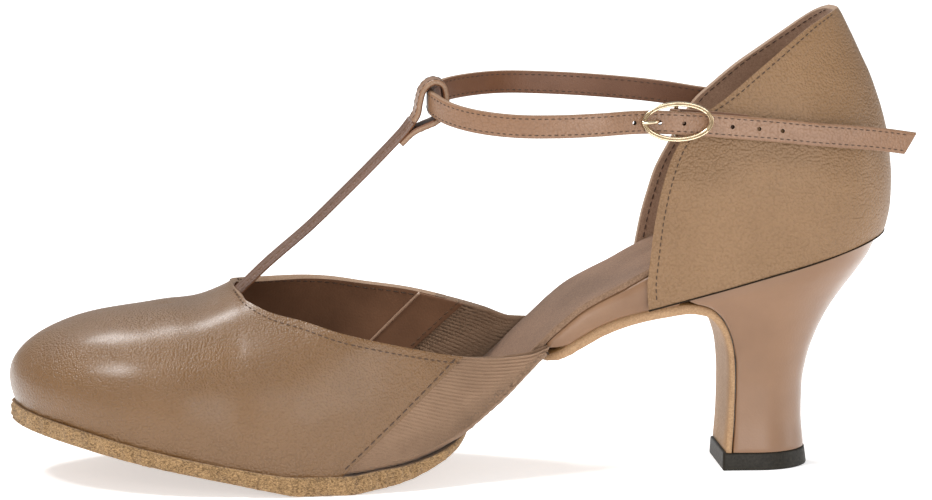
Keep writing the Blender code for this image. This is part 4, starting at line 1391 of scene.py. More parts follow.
    def _facings(self) -> None:
        """Line the joins of vamp and elastic inside, each facing with a corded front edge."""
        last = self.last
        low_x, top_x = last.seam_bottom_x - self.facing_lean, last.seam_top_x
        width = self.facing_back - self.facing_front
        for side in Side:
            grid: Grid = []
            for k in range(self.facing_steps + 1):
                shift = self.facing_front + width * k / self.facing_steps
                column = last.upper_column(low_x + shift, top_x + shift, side, self.rows)[4:-1]
                grid.append(inwards(column, side, self.facing_depth))
            facing = skin("lining_facing_" + side.column, grid, [self.finishes["lining"]] * 3)
            outwards = sum(face.normal.y * face.area for face in facing.data.polygons) * side.value
            if outwards < 0:
                facing.data.flip_normals()
            thicken(facing, self.facing_thick, self.facing_edge)
            finish_piece(facing, "pebbled_leather")
            # The cord is coloured lighter than the lining it edges: a painted highlight along its glossy
            # ridge, on top of its real gloss.
            cord = wire("lining_cord_painted_highlight_" + side.column, inwards(grid[0], side, self.cord_depth),
                        round_profile(self.cord_radius, 10), [self.finishes["cord"]])
            finish_piece(cord, "pebbled_leather")
            seam = lay_on(facing, inwards(grid[-2], side, self.facing_seam_depth)[1:-1])
            self.stitching.sew("facing_stitches_" + side.column, [seam], Stitch.FACING, "pebbled_leather")

    def _quarter(self) -> None:
        """Draw the heel cup, open in front, above and underneath, stitch its edge, and run a near-black wire
        along its foot as a painted shadow line.
        """
        last = self.last
        grid: Grid = []
        edges: dict[Side, list[Vector]] = {side: [] for side in Side}
        first, final = self.quarter_seam
        for k in range(self.quarter_rows + 1):
            rise = 1 - (1 - k / self.quarter_rows) ** self.quarter_crowding
            rows = {side: spread(last.quarter_row(rise, side), self.quarter_columns) for side in Side}
            grid.append(join_halves(*rows.values()))
            if first < rise < final:
                for side, row in rows.items():
                    edges[side].append(along_row(row, self.stitch_inset))
        # The cut edge takes the pale finish, which is partly painted highlight.
        quarter = skin("quarter_leather", grid, [self.finishes["pebbled_light"], self.finishes["heel_lining"],
                                                 self.finishes["cut_edge_and_highlight"]])
        emboss(quarter, unevenness(*self.quarter_swell))
        thicken(quarter, last.leather, self.eased_edge)
        finish_piece(quarter, "pebbled_leather", "quarter")
        self._sew_edge("quarter_edge_stitches", "quarter_lining_stitches", quarter, edges)
        # Near-black wire along the cup's lower edge: a painted shadow line for the gap between the heel cup
        # and the heel.
        line = wire("quarter_painted_shadow_line", grid[0], round_profile(self.shadow_line_radius, 8),
                    [self.finishes["hole"]])
        finish_piece(line, "pebbled_leather")

    def _sew_edge(self, outer: str, inner: str, piece: Piece, seams: dict[Side, list[Vector]]) -> None:
        """Stitch the edge of a lined wall, on its face and on its lining.

        Args:
            outer: Name of the stitches on the face.
            inner: Name of the stitches on the lining.
            piece: The wall.
            seams: The seam's points on the face, by side.
        """
        self.stitching.sew(outer, [lay_on(piece, seam) for seam in seams.values()], Stitch.TOPLINE,
                           "pebbled_leather")
        depth = self.last.leather + self.lining_depth
        lining = [lay_on(piece, inwards(seam, side, depth)) for side, seam in seams.items()]
        self.stitching.sew(inner, lining, Stitch.LINING, "pebbled_leather")


# A slab's ring: points round each edge, steps across each face, and slots, 1 on its sides.
SLAB_TURN = 5
SLAB_ACROSS = 10
SLAB_SLOTS = ([1] * (2 * SLAB_TURN - 1) + [0] * SLAB_ACROSS) * 2
# A slab's least thickness and least width, in radii of its edges.
SLAB_THIN = 2.05
SLAB_NARROW = 2.2


def slab_ring(x: float, left: float, right: float, low: float, high: float, edge: float,
              lean: float = 0.0) -> Ring:
    """Cross-section of a flat piece with rounded edges.

    Args:
        x: Place along the foot.
        left: Outer edge.
        right: Inner edge.
        low: Underside.
        high: Upper face.
        edge: Radius of the edges, less where the piece is thin or narrow.
        lean: Rise for each millimetre towards the inner side.

    Returns:
        The ring's points, with their slots in SLAB_SLOTS.
    """
    edge = min(edge, (high - low) / SLAB_THIN, (right - left) / SLAB_NARROW)
    near, far = left + edge, right - edge
    outline: list[tuple[float, float]] = []
    for centre_y, centre_z, start in ((far, low + edge, -90), (far, high - edge, 0),
                                      (near, high - edge, 90), (near, low + edge, 180)):
        turns = [math.radians(start + 90 * k / (SLAB_TURN - 1)) for k in range(SLAB_TURN)]
        outline += [(centre_y + edge * math.cos(turn), centre_z + edge * math.sin(turn)) for turn in turns]
        if start == 0:
            outline += [(far + (near - far) * k / SLAB_ACROSS, high) for k in range(1, SLAB_ACROSS)]
        if start == 180:
            outline += [(near + (far - near) * k / SLAB_ACROSS, low) for k in range(1, SLAB_ACROSS)]
    return [Vector((x, y, z + lean * y)) for y, z in outline]


# Share of the half width, and share of the height.
BOARD_SECTION = (
    (-0.9, 0.0), (-0.45, 0.0), (0.0, 0.0), (0.45, 0.0), (0.9, 0.0), (0.96, 0.12), (0.99, 0.35), (1.0, 0.65),
    (0.99, 0.9), (0.97, 1.0), (0.4, 1.0), (-0.4, 1.0), (-0.97, 1.0), (-0.99, 0.9), (-1.0, 0.65),
    (-0.99, 0.35), (-0.96, 0.12),
)
# Share of the thickness, share of the half width, and millimetres added to that.
STRIP_SECTION = (
    (0.0, -1.0, 0.0), (0.0, -0.5, 0.0), (0.0, 0.0, 0.0), (0.0, 0.5, 0.0), (0.0, 1.0, 0.0), (0.5, 1.0, 0.05),
    (0.85, 1.0, -0.1), (1.0, 1.0, -0.5), (1.0, 0.45, 0.0), (1.0, 0.0, 0.0), (1.0, -0.45, 0.0),
    (1.0, -1.0, 0.5), (0.85, -1.0, 0.1), (0.5, -1.0, -0.05),
)
STRIP_SLOTS = ([0] * 4 + [1] * 3) * 2


@dataclass
class SoleUnit:
    """The insole, the arch board and the split sole."""

    last: Last
    finishes: Finishes
    sock: float = 1.6
    sock_edge: float = 0.5
    sock_clearance: float = 0.4
    sock_tip_stations: int = 26
    sock_step: float = 1.7
    sock_end_x: float = 32.4
    sole_edge: float = 0.9
    sole_tip_stations: int = 90
    sole_step: float = 0.7
    sole_lip: float = 0.15
    strip_setback: float = 0.05
    strip_stations: int = 110
    strip_reach: float = 0.15
    lip_wander: float = 0.35
    board_front_x: float = -60.4
    board_back_x: float = 27.0
    board_stations: int = 60
    board_cup_x: float = -40.0
    board_seam_x: float = -24.6
    board_curl_x: float = -55.0
    board_curl: float = 0.45
    board_low_gap: float = 0.1
    board_high_gap: float = 0.05
    board_least: float = 0.2
    fuzz: float = 1.0
    fuzz_margin: float = 0.5

    def build(self) -> None:
        """Build every piece of the sole unit."""
        self._insole()
        self._board()
        self._forepart()
        self._strip()

    def _insole(self) -> None:
        """Lay the sock that the foot stands on."""
        last = self.last
        tip, end = last.tip_x + last.leather + self.sock_clearance, self.sock_end_x
        stations = [tip + 0.05] + last.nose_stations(tip, self.sock_tip_stations)[1:]
        stations += steps(last.nose_x, self.sock_step, end - 1.9) + [end - 1.4, end - 0.6, end]
        rings = []
        for x in stations:
            thick = self.sock * math.hypot(1, last.insole_slope(x))
            low = INSOLE.at(x, "bottom")
            rings.append(slab_ring(x, -last.insole_width(x, Side.LATERAL), last.insole_width(x, Side.MEDIAL),
                                   low, low + thick, self.sock_edge, INSOLE.at(x, "lean") / last.lean_width))
        sock = loft("sock_lining", rings, [self.finishes["sock"], self.finishes["sock_edge"]],
                    pattern=SLAB_SLOTS)
        finish_piece(sock, "suede", "insole")

    def _board(self) -> None:
        """Cover the board between insole and arch sole, whose side shows as a lens."""
        last = self.last
        rings = []
        for k in range(self.board_stations + 1):
            x = self.board_front_x + (self.board_back_x - self.board_front_x) * k / self.board_stations
            half_width = last.quarter_inner if x > self.board_cup_x else last.insole_width
            left, right = half_width(x, Side.LATERAL), half_width(x, Side.MEDIAL)
            top = last.seam_height(x) if x > self.board_seam_x else last.strip_top(x)
            low = top + self.board_low_gap + max(0.0, self.board_curl * (self.board_curl_x - x))
            ring = []
            for share, level in BOARD_SECTION:
                y = share * (right if share > 0 else left)
                high = max(last.insole_bottom(x, y) - self.board_high_gap, low + self.board_least)
                ring.append(Vector((x, y, low + (high - low) * level)))
            rings.append(ring)
        board = loft("covered_arch_board", rings, [self.finishes["smooth_pink"]])
        finish_piece(board, "smooth_leather", "arch_board")

    def _forepart(self) -> None:
        """Cut the front half of the split sole from rough suede."""
        last = self.last
        tip, end = last.sole_tip_x, last.sole_end_x
        stations = [tip + 0.06] + last.nose_stations(tip, self.sole_tip_stations)[1:]
        stations += steps(last.nose_x, self.sole_step, end - 0.8) + [end - 0.5, end]
        rings = []
        for x in stations:
            rough = self.lip_wander / 2 * noise.noise(Vector((x / 2.1, 3.0, 0.0)))
            rings.append(slab_ring(x, rough - last.sole_width(x, Side.LATERAL),
                                   rough + last.sole_width(x, Side.MEDIAL), SOLE.at(x, "bottom"),
                                   last.sole_top(x) + self.sole_lip, self.sole_edge))
        sole = loft("forepart_suede_sole", rings, [self.finishes["rough_suede"], self.finishes["sole_side"]],
                    pattern=SLAB_SLOTS)
        fibres, tufts = unevenness(1.0, self.fuzz), unevenness(2.3, self.fuzz * 0.6)

        def fuzz(point: Vector) -> float:
            """Height of the brushed fibres, none on the flat underside and under the upper."""
            room = min(point.z - SOLE.at(point.x, "bottom"), last.sole_top(point.x) + self.sole_lip - point.z)
            return (fibres(point) + tufts(point)) * min(1.0, max(0.0, room / self.fuzz_margin))

        emboss(sole, fuzz)
        finish_piece(sole, "rough_suede", "forepart_sole")

    def _strip(self) -> None:
        """Run the leather strip under the arch and down the breast of the heel."""
        def place(s: float) -> Vector:
            """Place of the strip's upper face, along the foot and up."""
            return Vector((STRIP.at(s, "x"), STRIP.at(s, "z")))

        rings = []
        end = STRIP.rows[-1][0]
        for k in range(self.strip_stations + 1):
            s = end * k / self.strip_stations
            run = (place(s + self.strip_reach) - place(s - self.strip_reach)).normalized()
            down = Vector((run.y, -run.x))
            wander = self.lip_wander * noise.noise(Vector((s * 4.0, 0.0, 7.0))) * max(0.0, 1 - s / 5)
            top = place(s) + down * self.strip_setback
            low = top + down * (STRIP.at(s, "thick") + wander)
            ring = []
            for depth, share, more in STRIP_SECTION:
                point = top.lerp(low, depth)
                ring.append(Vector((point.x, STRIP.at(s, "half_width") * share + more, point.y)))
            rings.append(ring)
        strip = loft("arch_sole_leather", rings, [self.finishes["sole_leather"],
                                                  self.finishes["sole_leather_edge"]], pattern=STRIP_SLOTS)
        finish_piece(strip, "sole_leather", "arch_sole")


@dataclass
class HeelUnit:
    """The covered heel and the top piece that it stands on."""

    finishes: Finishes
    stations: int = 72
    breast: float = 0.9
    seat_from: float = 5.0
    seat_span: float = 4.0
    front_narrow: float = 0.16
    front_from_x: float = 5.0
    front_span: float = 28.0
    side_draft: float = 0.03
    corner: float = 0.4
    tip_back_x: float = 12.4
    tip_front_x: float = -12.1
    tip_half_width: float = 14.0
    tip_steps: Pairs = ((0.0, -0.35), (0.12, -0.1), (0.4, 0.0), (1.6, -0.15), (3.2, -0.35), (4.2, -0.5),
                        (4.68, -0.6), (4.8, -0.9))
    arc_steps: int = 36

    def outline(self, front: float, back: float, half: float, hollow: float) -> list[tuple[float, float]]:
        """Outline of a section: round at the back, with straight sides and a flat or hollow breast.

        Args:
            front: Place of the breast.
            back: Place of the back.
            half: Half width.
            hollow: How far the breast is hollowed.

        Returns:
            The points in order.
        """
        middle = back - half
        turns = [math.radians(-90 + 180 * k / self.arc_steps) for k in range(self.arc_steps + 1)]
        arc = [(middle + half * math.cos(turn), half * math.sin(turn)) for turn in turns]
        side = [(front + share * (middle - front), half * (1 - self.side_draft * (1 - share)))
                for share in (0.8, 0.6, 0.4, 0.2, 0.06)]
        front_half = half * (1 - self.side_draft) if hollow else half
        across = [front_half * share / 5 for share in (4, 3, 2, 1, 0, -1, -2, -3, -4)]
        breast = [(front + hollow * math.cos(math.pi / 2 * y / front_half), y) for y in across]
        corners = [(front, front_half - self.corner), (front, self.corner - front_half)]
        return [*arc, *side, corners[0], *breast, corners[1], *[(x, -y) for x, y in reversed(side)]]

    def build(self) -> None:
        """Build the heel and its tip."""
        self._heel()
        self._tip()

    def _heel(self) -> None:
        """Cover the heel, its breast hollow up to the seat, where its front narrows instead."""
        rings = []
        end = HEEL.rows[-1][0]
        for k in range(self.stations + 1):
            s = end * k / self.stations
            front, back = HEEL.at(s, "front_x"), HEEL.at(s, "back_x")
            low, high = HEEL.at(s, "front_z"), HEEL.at(s, "back_z")
            slope = (high - low) / (back - front)
            narrow = min(1.0, max(0.0, (s - self.seat_from) / self.seat_span))
            ring = []
            for x, y in self.outline(front, back, HEEL.at(s, "half_width"), self.breast * (1 - narrow)):
                forward = min(1.0, max(0.0, (self.front_from_x - x) / self.front_span))
                width = 1 - self.front_narrow * narrow * forward
                ring.append(Vector((x, y * width, low + slope * (x - front))))
            rings.append(ring)
        heel = loft("covered_heel", rings, [self.finishes["heel_cover"]])
        bevel(heel, self.corner, 50.0)
        finish_piece(heel, "smooth_leather", "heel")

    def _tip(self) -> None:
        """Cut the top piece from rubber, a little narrower towards the heel."""
        rings = []
        for z, flare in self.tip_steps:
            outline = self.outline(self.tip_front_x - 0.3 * flare, self.tip_back_x + flare,
                                   self.tip_half_width + flare, 0.0)
            rings.append([Vector((x, y, z)) for x, y in outline])
        tip = loft("rubber_top_piece", rings, [self.finishes["rubber"]])
        finish_piece(tip, "rubber", "heel_tip")


# Along the foot, across it, up, and degrees of lean, for the strap and its tab.
STRAP_ROUTE = (
    (-4.0, 26.0, 95.6, 8.0), (-14.0, 25.6, 97.0, 8.0), (-24.0, 26.2, 98.6, 6.0), (-34.0, 27.6, 99.7, 3.0),
    (-46.0, 29.0, 100.6, 0.0), (-58.0, 29.0, 101.3, 0.0), (-68.0, 26.8, 101.8, 0.0),
    (-76.5, 21.6, 101.9, 0.0), (-84.4, 14.6, 101.5, 0.0), (-89.4, 6.2, 100.6, 0.0),
    (-90.4, 0.0, 100.2, 0.0), (-89.9, -6.2, 99.7, 0.0), (-86.2, -14.2, 98.1, 0.0),
    (-79.5, -21.4, 96.9, 0.0), (-70.0, -27.2, 96.3, 0.0), (-58.8, -30.0, 96.4, 0.0),
    (-48.0, -30.4, 96.8, 0.0), (-41.0, -28.5, 97.0, 0.0), (-36.0, -27.3, 97.0, 0.0),
    (-32.0, -27.6, 97.0, 0.0), (-27.1, -28.15, 96.8, 0.0), (-22.2, -27.5, 96.4, 2.0),
    (-18.2, -26.6, 95.9, 6.0), (-10.0, -26.3, 95.1, 8.0), (0.0, -26.4, 94.2, 8.0),
    (10.0, -26.4, 93.1, 8.0), (20.0, -25.8, 92.2, 4.0), (28.0, -24.6, 91.3, 0.0),
    (37.4, -22.4, 89.7, 0.0),
)
TAB_ROUTE = (
    (-8.0, -24.35, 95.3, 8.0), (-13.0, -24.25, 95.9, 8.0), (-18.0, -24.2, 96.4, 6.0),
    (-22.6, -23.9, 96.8, 2.0), (-26.0, -23.8, 97.1, 0.0), (-27.8, -24.1, 97.2, 0.0),
    (-28.5, -25.2, 97.3, 0.0), (-27.8, -26.3, 97.3, 0.0), (-26.2, -26.55, 97.3, 0.0),
)
# A folded strap's ring: steps across its upper and under faces, and slots, 2 underneath.
FOLD_UPPER = 16
FOLD_LOWER = 8
FOLD_SLOTS = [0] * (FOLD_UPPER + 1) + [1] + [2] * (FOLD_LOWER + 2) + [1] * 2
# Along the foot and up, for the bar and its loop.
BAR_ROUTE = (
    (-156.0, 43.2), (-150.0, 45.0), (-146.0, 46.6), (-142.6, 48.9), (-139.2, 52.1), (-135.0, 56.1),
    (-131.0, 59.6), (-122.8, 66.6), (-114.7, 74.4), (-106.5, 82.5), (-98.4, 90.9), (-95.2, 94.9),
)
LOOP_ROUTE = (
    (-96.4, 93.2), (-94.1, 96.6), (-93.4, 100.0), (-92.4, 103.3), (-89.9, 105.4), (-87.2, 104.6),
    (-86.3, 101.4), (-86.7, 97.6), (-88.9, 94.9), (-92.2, 93.4), (-95.3, 91.9), (-98.6, 88.8),
)
# Up from the buckle's centre, and across the foot.
BAR_DROP_ROUTE = (
    (4.75, -29.3), (4.6, -27.6), (4.1, -26.0), (3.0, -25.2), (0.0, -25.2), (-3.0, -25.2), (-4.1, -26.0),
    (-4.6, -27.6), (-4.75, -29.3),
)
# Along the foot and across it.
PRONG_ROUTE = (
    (-25.7, -25.4), (-26.1, -24.2), (-27.1, -23.8), (-28.2, -24.3), (-29.2, -25.3), (-30.6, -25.9),
    (-31.6, -26.7), (-32.1, -27.9), (-32.6, -29.2), (-33.8, -30.2), (-35.4, -30.8), (-36.9, -30.9),
)


@dataclass
class Ribbon:
    """A strap that stands on its edge: its route, its frame at each point, and its cross-section."""

    rows: Sequence[tuple[float, float, float, float]]
    width: float
    thick: float
    spacing: float
    crown: float = 0.1

    def frames(self) -> list[tuple[Vector, Vector, Vector, Vector]]:
        """Find the strap's centre, direction, upward and outward vectors along its route.

        Returns:
            The four vectors for each point.
        """
        route = smooth_route([row[:3] for row in self.rows], self.spacing)
        out = []
        for point, along in zip(route, tangents(route)):
            near = sorted(self.rows, key=lambda row: (Vector(row[:3]) - point).length)[:2]
            weights = [1 / ((Vector(row[:3]) - point).length + 0.01) for row in near]
            lean = sum(w * row[3] for w, row in zip(weights, near)) / sum(weights)
            tilt = math.radians(lean) * (1 if point.y < 0 else -1)
            up = Vector((0.0, math.sin(tilt), math.cos(tilt)))
            up = (up - along * up.dot(along)).normalized()
            out.append((point, along, up, along.cross(up).normalized()))
        return out

    def profile(self) -> list[tuple[float, float, int]]:
        """Cross-section: places up the width and outwards, with the slot of the face that follows.

        Returns:
            The points in order, faces softly crowned and edges eased.
        """
        w, t = self.width / 2, self.thick / 2
        soft = 0.35 * min(0.35, t * 0.8)
        front = [(w * share, t * (1 - self.crown * share * share))
                 for share in (0.86, 0.75, 0.4, 0.0, -0.4, -0.75, -0.86)]
        return [
            *[(a, b, 0) for a, b in front],
            (soft - w, t * 0.78, 1), (-w, t * 0.3, 1), (-w, -t * 0.3, 1), (soft - w, -t * 0.78, 2),
            *[(a, -b, 2) for a, b in reversed(front)],
            (w - soft, -t * 0.78, 1), (w, -t * 0.3, 1), (w, t * 0.3, 1), (w - soft, t * 0.78, 0),
        ]

    def slots(self) -> list[int]:
        """Slot of each step of the cross-section."""
        return [slot for _, _, slot in self.profile()]

    def rings(self) -> list[Ring]:
        """Cross-sections along the route."""
        profile = self.profile()
        return [[point + up * a + out * b for a, b, _ in profile] for point, _, up, out in self.frames()]

    def seam(self, height: float, face: float) -> list[Vector]:
        """Line along the strap, at a height from its middle, on its outer face (1) or inner one (-1)."""
        lift = self.thick / 2 * (1 - self.crown * (2 * height / self.width) ** 2)
        return [point + up * height + out * face * lift for point, _, up, out in self.frames()]


@dataclass
class Straps:
    """The T strap with its loop, the ankle strap with its holes, and the tab that carries the buckle."""

    finishes: Finishes
    stitching: Stitching
    width: float = 6.2
    thick: float = 1.8
    spacing: float = 0.9
    slant: float = 2.6
    slant_rings: int = 6
    hole_first_x: float = -38.9
    hole_pitch: float = 6.75
    hole_count: int = 7
    hole_width: float = 1.15
    hole_side_y: float = -15.0
    punch_reach: float = 3.0
    prong_hole: int = 1
    prong_hole_width: float = 1.3
    edge_inset: float = 0.95
    bar_width: float = 9.0
    bar_thick: float = 1.3
    bar_hump: float = 0.55
    bar_spacing: float = 1.0
    loop_width: float = 8.7
    loop_thick: float = 1.5
    loop_spacing: float = 0.7
    bar_seam: float = 3.6
    loop_seam: float = 3.5
    tab_width: float = 6.0
    tab_thick: float = 0.8
    tab_spacing: float = 0.45
    tab_slot: tuple[float, float] = (-27.7, -25.2)
    tab_slot_low: float = 96.1
    tab_slot_high: float = 98.5
    tab_slot_radius: float = 4.2

    def build(self) -> None:
        """Build every strap."""
        self._ankle_strap()
        self._bar()
        self._loop()
        self._tab()

    def _faces(self) -> list[Material]:
        """Finishes of a strap: outer face, cut edge and backing."""
        return [self.finishes["strap"], self.finishes["strap_edge"], self.finishes["strap_back"]]

    def _ankle_strap(self) -> None:
        """Cut the ankle strap, punch its holes and stitch both its edges."""
        ribbon = Ribbon(STRAP_ROUTE, self.width, self.thick, self.spacing)
        rings, frames = ribbon.rings(), ribbon.frames()
        end_along = frames[-1][1]
        for back, ring in enumerate(reversed(rings[-self.slant_rings:])):
            for k, (a, _, _) in enumerate(ribbon.profile()):
                share = (self.width / 2 - a) / self.width
                ring[k] = ring[k] - end_along * self.slant * share * (1 - back / self.slant_rings)
        strap = loft("ankle_strap_leather", rings, self._faces(), pattern=ribbon.slots())
        outer = [frame for frame in frames if frame[0].y < self.hole_side_y]
        cutters = []
        for k in range(self.hole_count):
            x = self.hole_first_x + self.hole_pitch * k
            point, _, _, out = min(outer, key=lambda frame: abs(frame[0].x - x))
            hole = self.prong_hole_width if k == self.prong_hole else self.hole_width
            reach = out * self.punch_reach
            # The cutters are near-black, and the hole walls keep that colour as painted shade.
            cutters.append(wire("punch_%d" % (k + 1), [point - reach, point + reach],
                                round_profile(hole / 2, 20), [self.finishes["hole"]]))
        punch(strap, cutters, transfer=True)
        finish_piece(strap, "strap_leather", "ankle_strap")
        edge = self.width / 2 - self.edge_inset
        seams = [ribbon.seam(height, face)[2:-4] for height in (edge, -edge) for face in (1.0, -1.0)]
        self.stitching.sew("ankle_strap_stitches", seams, Stitch.STRAP, "strap_leather")

    def _flat_rings(self, rows: Pairs, spacing: float, profile: Pairs) -> list[Ring]:
        """Cross-sections of a strap that lies across the shoe.

        Args:
            rows: Places of its centre line, along the foot and up.
            spacing: Distance between sections.
            profile: Places across the shoe and out of the face.

        Returns:
            The rings.
        """
        route = smooth_route([(x, 0.0, z) for x, z in rows], spacing)
        rings = []
        for point, along in zip(route, tangents(route)):
            up = Vector((-along.z, 0.0, along.x))
            rings.append([point + Vector((0, a, 0)) + up * b for a, b in profile])
        return rings

    def _flat_line(self, rows: Pairs, spacing: float, across: float, out: float) -> list[Vector]:
        """Line along a strap that lies across the shoe, at a place across it and out of its face."""
        return [ring[0] for ring in self._flat_rings(rows, spacing, [(across, out)])]

    def _fold_profile(self, width: float, thick: float, hump: float) -> list[tuple[float, float]]:
        """Cross-section of a folded strap with a stitched groove along its middle.

        Args:
            width: Width across the shoe.
            thick: Thickness at the groove.
            hump: Height of the swell on both sides of the groove.

        Returns:
            Points in order, with their slots in FOLD_SLOTS: the upper face, an edge, the under face and the
            other edge.
        """
        w, t = width / 2, thick / 2
        shares = [k / FOLD_UPPER for k in range(FOLD_UPPER + 1)]
        upper = [(w * 0.96 * (1 - 2 * share), t + hump * math.sin(2 * math.pi * share) ** 2)
                 for share in shares]
        lower = [(w * 0.96 * (2 * k / FOLD_LOWER - 1), -t) for k in range(FOLD_LOWER + 1)]
        return [*upper, (-w, t * 0.5), (-w, -t * 0.5), *lower, (w, -t * 0.5), (w, t * 0.5)]

    def _bar(self) -> None:
        """Fold the bar that rises from the throat, and stitch its groove and both its edges."""
        rings = self._flat_rings(BAR_ROUTE, self.bar_spacing,
                                 self._fold_profile(self.bar_width, self.bar_thick, self.bar_hump))
        faces = [self.finishes[name] for name in ("bar", "bar", "strap_back")]
        bar = loft("t_bar_leather", rings, faces, pattern=FOLD_SLOTS)
        finish_piece(bar, "strap_leather", "t_strap")
        face = self.bar_thick / 2
        seams = [self._flat_line(BAR_ROUTE, self.bar_spacing, across, face + lift)[4:-3]
                 for across, lift in ((0.0, 0.05), (self.bar_seam, 0.12), (-self.bar_seam, 0.12))]
        self.stitching.sew("t_bar_stitches", seams, Stitch.BAR, "strap_leather")

    def _loop(self) -> None:
        """Turn the loop round the ankle strap and sew its end back onto the bar."""
        rings = self._flat_rings(LOOP_ROUTE, self.loop_spacing,
                                 self._fold_profile(self.loop_width, self.loop_thick, 0.0))
        loop = loft("t_bar_loop", rings, self._faces(), pattern=FOLD_SLOTS)
        finish_piece(loop, "strap_leather", "t_strap")
        face = self.loop_thick / 2
        seams = [self._flat_line(LOOP_ROUTE, self.loop_spacing, across, face)[2:-2]
                 for across in (self.loop_seam, -self.loop_seam)]
        ends = self._flat_rings(LOOP_ROUTE[-3:], self.loop_spacing,
                                [(across, -face) for across in (3.2, 1.6, 0.0, -1.6, -3.2)])
        self.stitching.sew("t_bar_loop_stitches", [*seams, ends[3], ends[-3]], Stitch.LOOP, "strap_leather")

    def _tab(self) -> None:
        """Fold the tab round the buckle's bar, with a slot for the prong."""
        ribbon = Ribbon(TAB_ROUTE, self.tab_width, self.tab_thick, self.tab_spacing)
        tab = loft("buckle_tab_leather", ribbon.rings(), self._faces(), pattern=ribbon.slots())
        line = [Vector((*self.tab_slot, z)) for z in (self.tab_slot_low, self.tab_slot_high)]
        cutter = wire("tab_slot", line, round_profile(self.tab_slot_radius, 20), [self.finishes["hole"]])
        punch(tab, [cutter], transfer=False)
        finish_piece(tab, "strap_leather", "buckle_tab")


# Across the wire and towards the viewer, in shares of its radius.
RIM_SECTION = (
    (0.98, 0.0), (0.93, 0.42), (0.68, 0.82), (0.40, 0.90), (0.17, 0.66), (-0.17, 0.66), (-0.40, 0.90),
    (-0.68, 0.82), (-0.93, 0.42), (-0.98, 0.0), (-0.93, -0.42), (-0.68, -0.80), (-0.3, -0.95), (0.3, -0.95),
    (0.68, -0.80), (0.93, -0.42),
)


@dataclass
class Buckle:
    """The oval frame, its bar behind the strap, and the prong."""

    finishes: Finishes
    centre: tuple[float, float, float] = (-27.1, -29.3, 97.3)
    length: float = 19.2
    height: float = 10.8
    wire_width: float = 1.35
    bar_radius: float = 0.6
    prong_radius: float = 0.5
    oval_steps: int = 96
    groove_width: float = 0.36
    route_spacing: float = 0.4

    def build(self) -> None:
        """Build the frame, the bar and the prong."""
        self._oval()
        x, _, z = self.centre
        drop = [(x, place_y, z + place_z) for place_z, place_y in BAR_DROP_ROUTE]
        self._rod("buckle_centre_bar", drop, self.bar_radius, "buckle_frame")
        pin = [(place_x, place_y, z) for place_x, place_y in PRONG_ROUTE]
        self._rod("buckle_pin", pin, self.prong_radius, "buckle_prong")

    def _oval(self) -> None:
        """Bend the rim, with the groove that runs along its face."""
        x, y, z = self.centre
        a, b = (self.length - self.wire_width) / 2, (self.height - self.wire_width) / 2
        r = self.wire_width / 2
        turns = [2 * math.pi * k / self.oval_steps for k in range(self.oval_steps)]
        oval = [Vector((x + a * math.cos(turn), y, z + b * math.sin(turn))) for turn in turns]
        frame = wire("buckle_oval", oval, [(across * r, out * r) for across, out in RIM_SECTION],
                     [self.finishes["brass"], self.finishes["groove"]], closed=True)
        for face in frame.data.polygons:
            middle = face.center / MM
            reach = math.hypot((middle.x - x) / a, (middle.z - z) / b)
            if abs(reach - 1) * b < self.groove_width * r and middle.y < y:
                face.material_index = 1
        finish_piece(frame, "brass", "buckle_frame")

    def _rod(self, name: str, route: Sequence[Point], radius: float, node: str) -> None:
        """Bend a brass rod along a route, for a CAD node."""
        rod = wire(name, smooth_route(route, self.route_spacing), round_profile(radius, 14),
                   [self.finishes["brass"]])
        finish_piece(rod, "brass", node)


